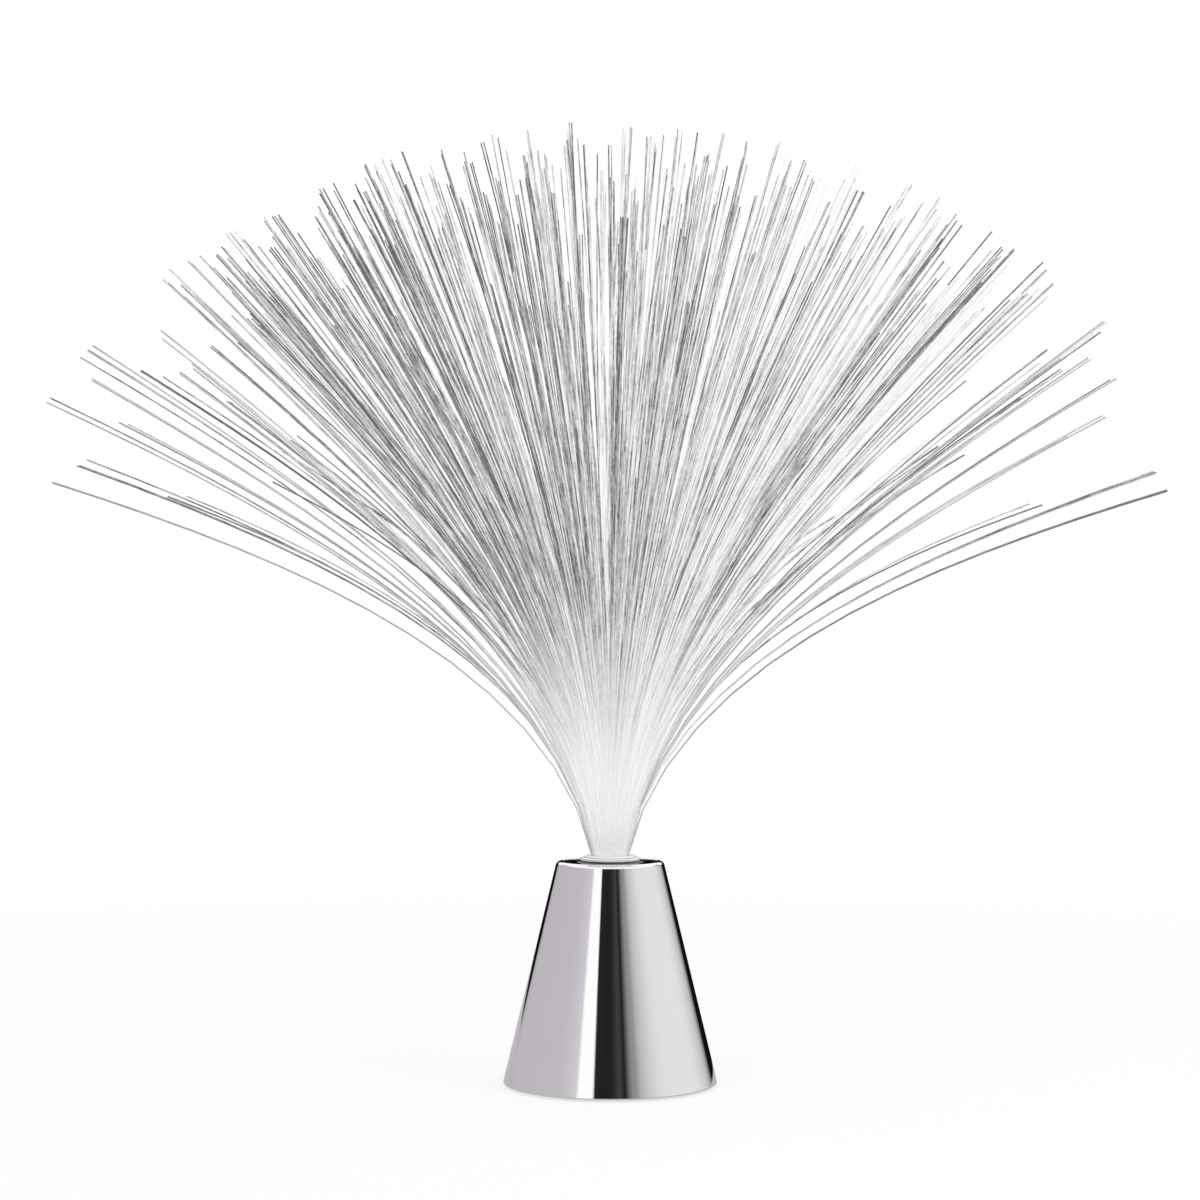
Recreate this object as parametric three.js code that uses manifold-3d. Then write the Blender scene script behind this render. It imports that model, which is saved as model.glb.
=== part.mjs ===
// A battery-powered fibre optic table lamp: a plated cone with a spray of clear fibres.
// Millimetres, +Z up. The origin is on the surface the lamp stands on, under the middle of the cone.

import * as THREE from 'three';
import { mergeVertices } from 'three/addons/utils/BufferGeometryUtils.js';
import Module from 'manifold-3d';

const wasm = await Module();
wasm.setup();

// Driving dimensions

// Gaps between neighbouring pieces: round a fitted piece, and between faces that rest on each other.
const gap = { fit: 0.3, seat: 0.1 };
// How far a cutting shape runs past the surface that it cuts.
const overrun = 1;

const shell = {
  topRadius: 18.5, height: 76.2, wall: 1.8, rimFillet: 1.2, footFillet: 0.4, sides: 48, filletSteps: 3,
};
const shellBoss = { radius: 3, height: 9, ribThickness: 1.6, pairSpacing: 12 };

const foot = { radius: 3, proud: 0.8, recess: 0.8, edge: 0.4, rimWidth: 0.6, clearOfHinge: 1, sides: 16 };
const plate = { thickness: 2.4, sides: 48 };

const cell = {
  radius: 5.25, length: 44.5, nubRadius: 1.9, nubLength: 0.8, edge: 0.4, spacing: 0.4, count: 3, sides: 16,
};
const contact = {
  thickness: 0.4, width: 8, height: 8.4, lugWidth: 2.4, lugHeight: 2,
  springLength: 2.5, springWireRadius: 0.3, springFootRadius: 3.2, springTopRadius: 2.2,
  springTurns: 2, springSides: 6, stepsPerTurn: 10,
};
// The cone is as wide at its foot as the tray's corners and the room round them need.
const tray = { wall: 1, sideGap: 0.4, ribWidth: 1, ribDepth: 2.9, cornerRoom: 0.88 };

const door = {
  thickness: 2, ledge: 0.6, trunnionRadius: 0.7, trunnionLength: 1.1, beadRadius: 0.5, beadProud: 0.15,
  beadLength: 12, gripLength: 10, gripWidth: 0.8, gripDepth: 0.5, gripPitch: 1.8, gripCount: 4,
  gripInset: 3, hingeSides: 16,
};

const screw = { headRadius: 2.6, headHeight: 1.3, crown: 0.3, slotWidth: 0.7, slotDepth: 0.6, sides: 12 };
const baseScrew = { shankRadius: 1.2, length: 8.5 };
const smallScrew = {
  headRadius: 1.7, headHeight: 1, crown: 0.2, slotWidth: 0.5, slotDepth: 0.4, shankRadius: 0.8, length: 3.6,
};

const slideSwitch = {
  clearOfTray: 2.85, width: 5.6, length: 13, height: 5, wall: 0.8, flangePastScrew: 2, flangeThickness: 0.5,
  bossRadius: 1.9, bossHeight: 2, tabWidth: 1.2, tabThickness: 0.5, tabHeight: 2, tabPitch: 3, tabCount: 3,
};
const slider = {
  travel: 4, carriageLength: 4.4, carriageWidth: 3.6, carriageHeight: 1.8, knobLength: 3.2, knobWidth: 2.2,
  recess: 0.4,
};

const disc = { dropBelowRim: 0.6, thickness: 2.4, ringWidth: 2.4, ringHeight: 0.8, tubeWall: 1.6, sides: 36 };
const lug = { radius: 2.2, height: 8, overlap: 0.5, count: 2, sides: 16 };

const collar = { flangeProud: 1.4, flangeThickness: 1, wall: 0.9, length: 17, edge: 0.2, sides: 32 };
const ferrule = { wall: 0.8, lipProud: 1, lipThickness: 0.6, length: 22.4, edge: 0.2, sides: 32 };

const board = { edgeWidth: 0.4, thickness: 1.6, sides: 32 };
const led = {
  radius: 2.5, flangeRadius: 2.9, flangeHeight: 1, bodyHeight: 6.1, spacing: 0.4, legSpacing: 2.54,
  legWidth: 0.5, legLength: 2.6, holeClearance: 0.2, sides: 16, domeSteps: 4,
};
const ledColours = ['red', 'green', 'blue'];
const firstLedDeg = 90;
const chip = { length: 5, width: 4, height: 1.5, offset: 6 };
const resistor = { length: 3.2, width: 1.6, height: 0.6, pitch: 3.4, offset: 6 };

const lead = { radius: 0.6, sides: 8, stepDiameters: 2.5 };

const fibre = {
  bundleRadius: 6.4, length: 250.4, radius: 0.3, sliceThickness: 1, bendLength: 80,
};
// Rings of fibre roots round the bundle's middle: ring n has 6 n places, and 3 n (n + 1) fibres in all.
const fibreRings = 10;
const fibreSectors = 3;
// How far a fibre of the outermost ring leans in the end, and how the lean grows from the middle out.
const coreLeanDeg = 54;
const strayLeanDeg = 22;
const leanWobbleDeg = 0.9;
const leanAtRootShare = 0.15;
// Places along a fibre where its sides have a corner.
const stationShares = [0.085, 0.235, 0.5, 1];
// How much of the extra lean each fibre of the outermost ring takes, in turn round the ring.
const strayShares = [1, 0.22, 0.6, 0.1, 0.38];
const strayLengthShare = 0.96;
// Most fibres end close to the longest, and only a few are much shorter.
const shortestFibreShare = 0.9;
const longFibreBias = 3;
const goldenShare = 0.618034;

// Levels and sizes that follow from the dimensions above

const shellBottom = foot.proud;
const shellTop = shellBottom + shell.height;
const plateBottom = shellBottom;
const plateTop = plateBottom + plate.thickness;

const cellPitch = 2 * cell.radius + cell.spacing;
const cellAxisZ = plateTop + gap.fit + cell.radius;
const trayHalfWidth = (cell.count - 1) / 2 * cellPitch + cell.radius + tray.sideGap;
const trayHalfLength = (cell.length + contact.springLength) / 2 + gap.fit + contact.thickness + gap.seat;
const contactFaceY = trayHalfLength - gap.seat - contact.thickness;
const trayCeiling = cellAxisZ + cell.radius + gap.fit;
const trayTop = trayCeiling + tray.wall;
const trayOuterX = trayHalfWidth + tray.wall;
const trayOuterY = trayHalfLength + tray.wall;

// The cone's straight side passes outside the tray's top corners and ends at the radius of the rim.
const trayTopShare = (trayTop - shellBottom) / shell.height;
const radiusAtTrayTop = Math.hypot(trayOuterX, trayOuterY) + tray.cornerRoom + shell.wall;
const shellBottomRadius = (radiusAtTrayTop - shell.topRadius * trayTopShare) / (1 - trayTopShare);
const shellSlope = (shellBottomRadius - shell.topRadius) / shell.height;
const shellOuterRadius = (z) => shellBottomRadius - shellSlope * (z - shellBottom);
const shellInnerRadius = (z) => shellOuterRadius(z) - shell.wall;
const plateRadius = shellInnerRadius(plateTop) - gap.fit;

const doorHalfWidth = trayHalfWidth + tray.wall - door.ledge;
const doorHalfLength = trayHalfLength + tray.wall - door.ledge;
const doorBottom = plateTop - gap.seat - door.thickness;
const hingeZ = doorBottom + door.thickness / 2;
const hingeY = door.thickness / 2 + gap.fit - doorHalfLength;

const switchX = trayOuterX + slideSwitch.clearOfTray + slideSwitch.width / 2;
const switchScrewY = slideSwitch.length / 2 + gap.fit + smallScrew.headRadius;
const switchFlangeY = switchScrewY + slideSwitch.flangePastScrew;
const switchBottom = plateTop + slideSwitch.bossHeight + gap.seat;
const switchTop = switchBottom + slideSwitch.flangeThickness + slideSwitch.height;
const switchScrewSeat = switchBottom + slideSwitch.flangeThickness + gap.seat;

// The feet stand clear of the door's hinge, and the base screws in pairs past the ends of the tray.
const footX = doorHalfWidth + door.trunnionLength + foot.clearOfHinge + foot.radius;
const footRingRadius = plateRadius - foot.rimWidth - gap.fit - foot.radius;
const footY = Math.sqrt(footRingRadius ** 2 - footX ** 2);
const bossBottom = plateTop + gap.seat;
const bossX = shellBoss.pairSpacing / 2;
const bossY = trayOuterY + gap.fit + shellBoss.radius;
const bossRingRadius = Math.hypot(bossX, bossY);
const fourCorners = (x, y) => [1, -1].flatMap((side) => [1, -1].map((end) => [side * x, end * y]));

const discTop = shellTop - disc.dropBelowRim;
const discBottom = discTop - disc.thickness;
const collarBottomOfFlange = discTop + disc.ringHeight + gap.seat;
const collarTop = collarBottomOfFlange + collar.flangeThickness;
const ferruleTop = collarTop + gap.seat + ferrule.lipThickness;
const ferruleInnerRadius = fibre.bundleRadius + gap.fit * 2;
const ferruleOuterRadius = ferruleInnerRadius + ferrule.wall;
const collarInnerRadius = ferruleOuterRadius + gap.fit;
const collarOuterRadius = collarInnerRadius + collar.wall;
const socketInnerRadius = collarOuterRadius + gap.fit;
const socketOuterRadius = socketInnerRadius + disc.tubeWall;
const sprayZ = ferruleTop + gap.fit;

// The LEDs shine up into the bundle's lower end, and their board hangs from the socket's lugs.
const bundleBottom = ferruleTop - ferrule.length;
const ledSeat = bundleBottom - gap.fit - led.radius - led.bodyHeight;
const lugBottom = ledSeat;
const tubeBottom = lugBottom + lug.overlap;
const boardTop = ledSeat - gap.seat;
const boardBottom = boardTop - board.thickness;
const lugRingRadius = socketOuterRadius + lug.radius - lug.overlap;
const boardRadius = lugRingRadius + lug.radius + board.edgeWidth;
const ledRingRadius = (led.flangeRadius + led.spacing / 2) / Math.sin(Math.PI / ledColours.length);

// Finishes

const finish = (color, roughness, metalness, opacity = 1) => new THREE.MeshStandardMaterial({
  color, roughness, metalness, opacity, transparent: opacity < 1,
});
const chromePlate = finish(0xd9d9dc, 0.05, 1);
const blackPlastic = finish(0x141414, 0.4, 0);
const clearPlastic = finish(0xf0f2f2, 0.1, 0, 0.4);
const clearFibre = finish(0xdfe2e3, 0.15, 0, 0.6);
const rubber = finish(0x1c1c1c, 0.9, 0);
const zincSteel = finish(0xb4b6b8, 0.35, 1);
const nickelSteel = finish(0xc9c6bd, 0.3, 1);
const cellSleeve = finish(0x3f6f8f, 0.35, 0.1);
const boardLaminate = finish(0x1f5a34, 0.5, 0);
const chipPlastic = finish(0x19191b, 0.55, 0);
const resistorCeramic = finish(0x2a2622, 0.5, 0);
const redLead = finish(0xa8221c, 0.5, 0);
const blackLead = finish(0x1a1a1c, 0.5, 0);
const ledLens = {
  red: finish(0xc8302a, 0.15, 0, 0.8),
  green: finish(0x2fa046, 0.15, 0, 0.8),
  blue: finish(0x2b55c4, 0.15, 0, 0.8),
};

// Shape helpers

// The same surface with its shared corners merged and its empty triangles gone.
function mergedGeometry(source) {
  const bare = source.clone();
  bare.deleteAttribute('normal');
  bare.deleteAttribute('uv');
  const merged = mergeVertices(bare);
  const index = merged.getIndex().array;
  const kept = [];
  for (let i = 0; i < index.length; i += 3) {
    const [a, b, c] = [index[i], index[i + 1], index[i + 2]];
    if (a !== b && b !== c && c !== a) kept.push(a, b, c);
  }
  merged.setIndex(kept);
  return merged;
}

function solid(source) {
  const merged = mergedGeometry(source);
  return new wasm.Manifold(new wasm.Mesh({
    numProp: 3,
    vertProperties: Float32Array.from(merged.getAttribute('position').array),
    triVerts: Uint32Array.from(merged.getIndex().array),
  }));
}

function geometryOf(body) {
  const mesh = body.getMesh();
  const geometry = new THREE.BufferGeometry();
  geometry.setAttribute('position', new THREE.BufferAttribute(mesh.vertProperties, 3));
  geometry.setIndex(new THREE.BufferAttribute(mesh.triVerts, 1));
  return geometry;
}

const joined = (first, ...others) => others.reduce((sum, next) => sum.add(next), first);
const without = (first, ...others) => others.reduce((rest, next) => rest.subtract(next), first);

// A profile of [radius, height] points, anticlockwise with the axis on its left, turned about Z.
function turned(points, sides) {
  const profile = points.map(([r, z]) => new THREE.Vector2(r, z));
  return new THREE.LatheGeometry(profile, sides).rotateX(Math.PI / 2);
}

const closedRing = (points, sides) => turned([...points, points[0]], sides);

function box(sizeX, sizeY, sizeZ, x, y, lowZ) {
  return new THREE.BoxGeometry(sizeX, sizeY, sizeZ).translate(x, y, lowZ + sizeZ / 2);
}

function rod(radius, height, sides, x, y, lowZ) {
  const upright = new THREE.CylinderGeometry(radius, radius, height, sides).rotateX(Math.PI / 2);
  return upright.translate(x, y, lowZ + height / 2);
}

// Points on an arc from one angle to another, both in radians.
function arcPoints(centreX, centreY, radius, from, to, steps) {
  return Array.from({ length: steps + 1 }, (_, i) => {
    const angle = from + (to - from) * i / steps;
    return [centreX + radius * Math.cos(angle), centreY + radius * Math.sin(angle)];
  });
}

// A round bar swept along a curve.
function tube(curve, radius, sides, steps) {
  const section = new THREE.Shape(
    arcPoints(0, 0, radius, 0, 2 * Math.PI, sides).slice(0, sides).map(([x, y]) => new THREE.Vector2(x, y)),
  );
  return new THREE.ExtrudeGeometry(section, { extrudePath: curve, steps });
}

const polar = (radius, degrees) => {
  const angle = THREE.MathUtils.degToRad(degrees);
  return [radius * Math.cos(angle), radius * Math.sin(angle)];
};

function piece(name, shape, material, place = [0, 0, 0]) {
  const geometry = shape.isBufferGeometry ? shape : geometryOf(shape);
  const mesh = new THREE.Mesh(geometry, material);
  mesh.name = name;
  mesh.position.set(...place);
  return mesh;
}

function group(...children) {
  const set = new THREE.Group();
  set.add(...children);
  return set;
}

// Fasteners

const baseScrewPlaces = fourCorners(bossX, bossY);

// A pan-head screw, its head's seat at z = 0, its shank down and a slot across its head.
function panScrew(head, shankRadius, length) {
  const body = turned([
    [0, -length], [shankRadius, -length], [shankRadius, 0], [head.headRadius, 0],
    [head.headRadius, head.headHeight - head.crown], [head.headRadius - head.crown, head.headHeight],
    [0, head.headHeight],
  ], screw.sides);
  const slot = box(
    head.headRadius * 2 + overrun, head.slotWidth, head.slotDepth + overrun,
    0, 0, head.headHeight - head.slotDepth,
  );
  return without(solid(body), solid(slot));
}

function baseScrews() {
  const geometry = geometryOf(panScrew(screw, baseScrew.shankRadius, baseScrew.length));
  const seatZ = plateBottom + screw.headHeight + gap.seat;
  return baseScrewPlaces.map(([x, y], i) => {
    const mesh = piece(`base_screw_${i + 1}`, geometry, zincSteel, [x, y, seatZ]);
    mesh.rotation.x = Math.PI;
    return mesh;
  });
}

// The plated cone

function coneShell() {
  const footRadius = shellBottomRadius - shell.footFillet;
  const rimRadius = shell.topRadius - shell.rimFillet;
  const profile = [
    ...arcPoints(footRadius, shellBottom + shell.footFillet, shell.footFillet, -Math.PI / 2, 0, 2),
    ...arcPoints(rimRadius, shellTop - shell.rimFillet, shell.rimFillet, 0, Math.PI / 2, shell.filletSteps),
    [shellInnerRadius(shellTop), shellTop],
    [shellInnerRadius(shellBottom), shellBottom],
  ];
  const wall = solid(closedRing(profile, shell.sides));

  // Each boss stands on a rib that reaches the middle of the wall and no further.
  const reach = turned([
    [0, shellBottom],
    [shellOuterRadius(shellBottom) - shell.wall / 2, shellBottom],
    [shellOuterRadius(shellTop) - shell.wall / 2, shellTop],
    [0, shellTop],
  ], shell.sides);
  const bosses = baseScrewPlaces.map(([x, y]) => {
    const ribLength = shellBottomRadius - bossRingRadius;
    const rib = new THREE.BoxGeometry(ribLength, shellBoss.ribThickness, shellBoss.height)
      .translate(bossRingRadius + ribLength / 2, 0, bossBottom + shellBoss.height / 2)
      .rotateZ(Math.atan2(y, x));
    const post = rod(shellBoss.radius, shellBoss.height, screw.sides, x, y, bossBottom);
    return joined(solid(post), solid(rib)).intersect(solid(reach));
  });
  const pilots = baseScrewPlaces.map(([x, y]) => solid(rod(
    baseScrew.shankRadius + gap.fit, shellBoss.height + overrun, screw.sides,
    x, y, bossBottom - overrun - screw.crown,
  )));
  return without(joined(wall, ...bosses), ...pilots);
}

// The base plate, with the battery tray on its upper side

const footPlaces = fourCorners(footX, footY);
const cellPlaces = Array.from({ length: cell.count }, (_, i) => (i - (cell.count - 1) / 2) * cellPitch);
const switchScrewPlaces = [1, -1].map((end) => [switchX, end * switchScrewY]);

// Each end contact: the places across the tray that it spans, the tray's end, and the place of its lug.
const [nearCell, midCell, farCell] = cellPlaces;
const contacts = [
  { name: 'positive_terminal', from: farCell, to: farCell, end: 1, springAt: null, lugAt: farCell },
  { name: 'negative_terminal', from: nearCell, to: nearCell, end: -1, springAt: nearCell, lugAt: nearCell },
  { name: 'link_contact_1', from: midCell, to: farCell, end: -1, springAt: farCell, lugAt: null },
  { name: 'link_contact_2', from: nearCell, to: midCell, end: 1, springAt: midCell, lugAt: null },
];
const lugCentreY = (end) => end * (contactFaceY + contact.thickness / 2);

function basePlate() {
  const floor = rod(plateRadius, plate.thickness, plate.sides, 0, 0, plateBottom);
  const trayBlock = box(2 * trayOuterX, 2 * trayOuterY, trayTop - plateBottom - plate.thickness / 2,
    0, 0, plateBottom + plate.thickness / 2);
  const trayRoom = box(2 * trayHalfWidth, 2 * trayHalfLength, trayCeiling - plateBottom + overrun,
    0, 0, plateBottom - overrun);
  const doorway = box(2 * doorHalfWidth, 2 * doorHalfLength, plate.thickness + overrun,
    0, 0, plateBottom - overrun);
  const hinge = new THREE.CylinderGeometry(
    door.trunnionRadius + gap.fit / 2, door.trunnionRadius + gap.fit / 2,
    2 * (doorHalfWidth + door.trunnionLength), door.hingeSides,
  ).rotateZ(Math.PI / 2).translate(0, hingeY, hingeZ);
  const beadGroove = new THREE.CylinderGeometry(
    door.beadRadius, door.beadRadius, door.beadLength + 2 * gap.fit, door.hingeSides,
  ).rotateZ(Math.PI / 2).translate(0, doorHalfLength, hingeZ);

  const ribs = cellPlaces.slice(1).map((x) => solid(box(
    tray.ribWidth, 2 * trayHalfLength, tray.ribDepth + tray.wall,
    x - cellPitch / 2, 0, trayCeiling - tray.ribDepth,
  )));
  // The ribs stop short of the end contacts.
  const contactRooms = [1, -1].map((end) => solid(box(
    2 * trayHalfWidth, trayHalfLength - contactFaceY + contact.springLength, tray.ribDepth,
    0, end * (trayHalfLength + contactFaceY - contact.springLength) / 2, trayCeiling - tray.ribDepth,
  )));
  const lugSlots = contacts.filter((item) => item.lugAt !== null).map((item) => solid(box(
    contact.lugWidth + 2 * gap.fit, contact.thickness + 2 * gap.fit, tray.wall + overrun,
    item.lugAt, lugCentreY(item.end), trayCeiling - overrun / 2,
  )));

  const bosses = switchScrewPlaces.map(([x, y]) => solid(rod(
    slideSwitch.bossRadius, slideSwitch.bossHeight + plate.thickness / 2, screw.sides,
    x, y, plateTop - plate.thickness / 2,
  )));
  const bossHoles = switchScrewPlaces.map(([x, y]) => solid(rod(
    smallScrew.shankRadius + gap.fit, smallScrew.length + gap.fit, screw.sides,
    x, y, switchScrewSeat - smallScrew.length - gap.fit,
  )));
  const knobSlot = solid(box(
    slider.knobWidth + 2 * gap.fit, slider.knobLength + slider.travel + 2 * gap.fit,
    plate.thickness + 2 * overrun, switchX, 0, plateBottom - overrun,
  ));
  const screwHoles = baseScrewPlaces.flatMap(([x, y]) => [
    solid(rod(baseScrew.shankRadius + gap.fit, plate.thickness + 2 * overrun, screw.sides,
      x, y, plateBottom - overrun)),
    solid(rod(screw.headRadius + gap.fit, screw.headHeight + 2 * gap.seat + overrun, screw.sides,
      x, y, plateBottom - overrun)),
  ]);
  const footRecesses = footPlaces.map(([x, y]) => solid(rod(
    foot.radius + gap.fit, foot.recess + overrun, foot.sides, x, y, plateBottom - overrun,
  )));

  const hollowTray = without(joined(solid(floor), solid(trayBlock)), solid(trayRoom), solid(doorway));
  const ribbed = joined(hollowTray, ...ribs.map((rib) => without(rib, ...contactRooms)), ...bosses);
  return without(
    ribbed, solid(hinge), solid(beadGroove), ...lugSlots, ...bossHoles, knobSlot, ...screwHoles,
    ...footRecesses,
  );
}

function rubberFeet() {
  const height = foot.proud + foot.recess - gap.seat;
  const pad = turned([
    [0, 0], [foot.radius - foot.edge, 0], [foot.radius, foot.edge], [foot.radius, height], [0, height],
  ], foot.sides);
  return footPlaces.map(([x, y], i) => piece(`rubber_foot_${i + 1}`, pad, rubber, [x, y, 0]));
}

// The battery door: a leaf with a round hinge edge, two stub trunnions, a snap bead and finger grips

function batteryDoor() {
  const halfWidth = doorHalfWidth - gap.fit;
  const farEdge = doorHalfLength - gap.fit;
  const edgeRadius = door.thickness / 2;
  const leafLength = farEdge - hingeY;
  const along = (radius, length, x, y) => new THREE.CylinderGeometry(radius, radius, length, door.hingeSides)
    .rotateZ(Math.PI / 2).translate(x, y, 0);
  const leaf = box(2 * halfWidth, leafLength, door.thickness, 0, leafLength / 2, -edgeRadius);
  const knuckle = along(edgeRadius, 2 * halfWidth, 0, 0);
  const trunnions = along(door.trunnionRadius, 2 * (halfWidth + door.trunnionLength), 0, 0);
  const bead = along(door.beadRadius, door.beadLength, 0, leafLength + door.beadProud - door.beadRadius);
  const grips = Array.from({ length: door.gripCount }, (_, i) => solid(box(
    door.gripLength, door.gripWidth, door.gripDepth + overrun,
    0, leafLength - door.gripInset - i * door.gripPitch, -edgeRadius - overrun,
  )));
  return without(joined(solid(leaf), solid(knuckle), solid(trunnions), solid(bead)), ...grips);
}

// Cells and their contacts

function dryCells() {
  const can = cell.length - cell.nubLength;
  const body = turned([
    [0, 0], [cell.radius - cell.edge, 0], [cell.radius, cell.edge], [cell.radius, can - cell.edge],
    [cell.radius - cell.edge, can], [cell.nubRadius, can], [cell.nubRadius, cell.length], [0, cell.length],
  ], cell.sides);
  const nubEnd = contactFaceY - gap.fit;
  return cellPlaces.map((x, i) => {
    const nubTowards = i % 2 === 0 ? 1 : -1;
    const mesh = piece(`dry_cell_${i + 1}`, body, cellSleeve,
      [x, nubTowards * (nubEnd - cell.length), cellAxisZ]);
    mesh.rotation.x = -nubTowards * Math.PI / 2;
    return mesh;
  });
}

// A spring that narrows as it winds away from the contact's plate, along +Z.
class TaperedSpring extends THREE.Curve {
  getPoint(share, target = new THREE.Vector3()) {
    const angle = 2 * Math.PI * contact.springTurns * share;
    const radius = THREE.MathUtils.lerp(contact.springFootRadius, contact.springTopRadius, share);
    const height = share * (contact.springLength - contact.springWireRadius - gap.fit);
    return target.set(radius * Math.cos(angle), radius * Math.sin(angle), height);
  }
}

function endContact({ name, from, to, end, springAt, lugAt }) {
  const width = to - from + contact.width;
  const centre = (from + to) / 2;
  const plateLow = cellAxisZ - contact.height / 2;
  const parts = [solid(box(width, contact.thickness, contact.height, centre, lugCentreY(end), plateLow))];
  if (springAt !== null) {
    const steps = contact.springTurns * contact.stepsPerTurn;
    const coil = tube(new TaperedSpring(), contact.springWireRadius, contact.springSides, steps)
      .rotateX(end * Math.PI / 2)
      .translate(springAt, end * contactFaceY, cellAxisZ);
    parts.push(solid(coil));
  }
  if (lugAt !== null) {
    const top = trayTop + contact.lugHeight;
    parts.push(solid(box(
      contact.lugWidth, contact.thickness, top - cellAxisZ, lugAt, lugCentreY(end), cellAxisZ,
    )));
  }
  return piece(name, joined(...parts), nickelSteel);
}

// The slide switch, standing on two bosses of the base plate

function switchBody() {
  const { width, length, height, wall, flangeThickness } = slideSwitch;
  const flange = solid(box(width, 2 * switchFlangeY, flangeThickness, 0, 0, 0));
  const can = solid(box(width, length, height, 0, 0, flangeThickness));
  const room = solid(box(
    slider.carriageWidth + 2 * gap.fit, slider.carriageLength + slider.travel + 2 * gap.fit,
    slider.carriageHeight + 2 * gap.fit, 0, 0, flangeThickness,
  ));
  const slot = solid(box(
    slider.knobWidth + 2 * gap.fit, slider.knobLength + slider.travel + 2 * gap.fit,
    flangeThickness + overrun, 0, 0, -overrun / 2,
  ));
  const screwHoles = switchScrewPlaces.map(([, y]) => solid(rod(
    smallScrew.shankRadius + gap.fit, flangeThickness + 2 * overrun, screw.sides, 0, y, -overrun,
  )));
  const tabs = Array.from({ length: slideSwitch.tabCount }, (_, i) => solid(box(
    slideSwitch.tabThickness, slideSwitch.tabWidth, slideSwitch.tabHeight + wall,
    0, (i - (slideSwitch.tabCount - 1) / 2) * slideSwitch.tabPitch, flangeThickness + height - wall,
  )));
  return without(joined(flange, can, ...tabs), room, slot, ...screwHoles);
}

function switchSlider() {
  const carriageLow = switchBottom + slideSwitch.flangeThickness + gap.fit;
  const knobLow = plateBottom + slider.recess;
  const y = -slider.travel / 2;
  const carriage = box(slider.carriageWidth, slider.carriageLength, slider.carriageHeight, 0, y, carriageLow);
  const knob = box(slider.knobWidth, slider.knobLength, carriageLow - knobLow + slider.carriageHeight / 2,
    0, y, knobLow);
  return joined(solid(carriage), solid(knob));
}

function slideSwitchGroup() {
  const screwShape = geometryOf(panScrew(smallScrew, smallScrew.shankRadius, smallScrew.length));
  const set = group(
    piece('switch_body', switchBody(), nickelSteel, [0, 0, switchBottom]),
    piece('switch_slider', switchSlider(), blackPlastic),
    ...switchScrewPlaces.map(([, y], i) => piece(
      `switch_screw_${i + 1}`, screwShape, zincSteel, [0, y, switchScrewSeat],
    )),
  );
  set.position.x = switchX;
  return set;
}

// The black disc under the rim, with the socket tube and the lugs that carry the LED board

const lugPlaces = Array.from(
  { length: lug.count }, (_, i) => polar(lugRingRadius, 360 * (i + 0.5) / lug.count),
);

function neckSocket() {
  const rimGap = (z) => shellInnerRadius(z) - gap.fit;
  const ringOuter = socketInnerRadius + disc.ringWidth;
  const profile = [
    [socketInnerRadius, tubeBottom],
    [socketOuterRadius, tubeBottom],
    [socketOuterRadius, discBottom],
    [rimGap(discBottom), discBottom],
    [rimGap(discTop), discTop],
    [ringOuter, discTop],
    [ringOuter - gap.fit, discTop + disc.ringHeight],
    [socketInnerRadius, discTop + disc.ringHeight],
  ];
  const body = solid(closedRing(profile, disc.sides));
  const bore = solid(rod(socketInnerRadius, shell.height, disc.sides, 0, 0, lugBottom - overrun));
  const posts = lugPlaces.map(([x, y]) => without(
    solid(rod(lug.radius, lug.height, lug.sides, x, y, lugBottom)), bore,
  ));
  const holes = lugPlaces.map(([x, y]) => solid(rod(
    smallScrew.shankRadius + gap.fit, smallScrew.length + overrun, lug.sides,
    x, y, lugBottom - overrun,
  )));
  return without(joined(body, ...posts), ...holes);
}

function neckCollar() {
  const bottom = collarBottomOfFlange - collar.length;
  const flangeRadius = collarOuterRadius + collar.flangeProud;
  return closedRing([
    [collarInnerRadius, bottom],
    [collarOuterRadius, bottom],
    [collarOuterRadius, collarBottomOfFlange],
    [flangeRadius, collarBottomOfFlange],
    [flangeRadius, collarTop - collar.edge],
    [flangeRadius - collar.edge, collarTop],
    [collarInnerRadius, collarTop],
  ], collar.sides);
}

function bundleFerrule() {
  const lipRadius = ferruleOuterRadius + ferrule.lipProud;
  return closedRing([
    [ferruleInnerRadius, bundleBottom],
    [ferruleOuterRadius, bundleBottom],
    [ferruleOuterRadius, ferruleTop - ferrule.lipThickness],
    [lipRadius, ferruleTop - ferrule.lipThickness],
    [lipRadius, ferruleTop - ferrule.edge],
    [lipRadius - ferrule.edge, ferruleTop],
    [ferruleInnerRadius, ferruleTop],
  ], ferrule.sides);
}

// The LED board and what is soldered and screwed to it

const ledPlaces = ledColours.map((_, i) => polar(ledRingRadius, firstLedDeg + 360 * i / ledColours.length));

function ledBody() {
  const dome = arcPoints(0, led.bodyHeight, led.radius, 0, Math.PI / 2, led.domeSteps);
  const lens = turned([
    [0, 0], [led.flangeRadius, 0], [led.flangeRadius, led.flangeHeight], [led.radius, led.flangeHeight],
    ...dome.slice(0, led.domeSteps), [0, led.bodyHeight + led.radius],
  ], led.sides);
  const legs = [1, -1].map((side) => solid(box(
    led.legWidth, led.legWidth, led.legLength + led.flangeHeight / 2,
    side * led.legSpacing / 2, 0, -led.legLength,
  )));
  return joined(solid(lens), ...legs);
}

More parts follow.
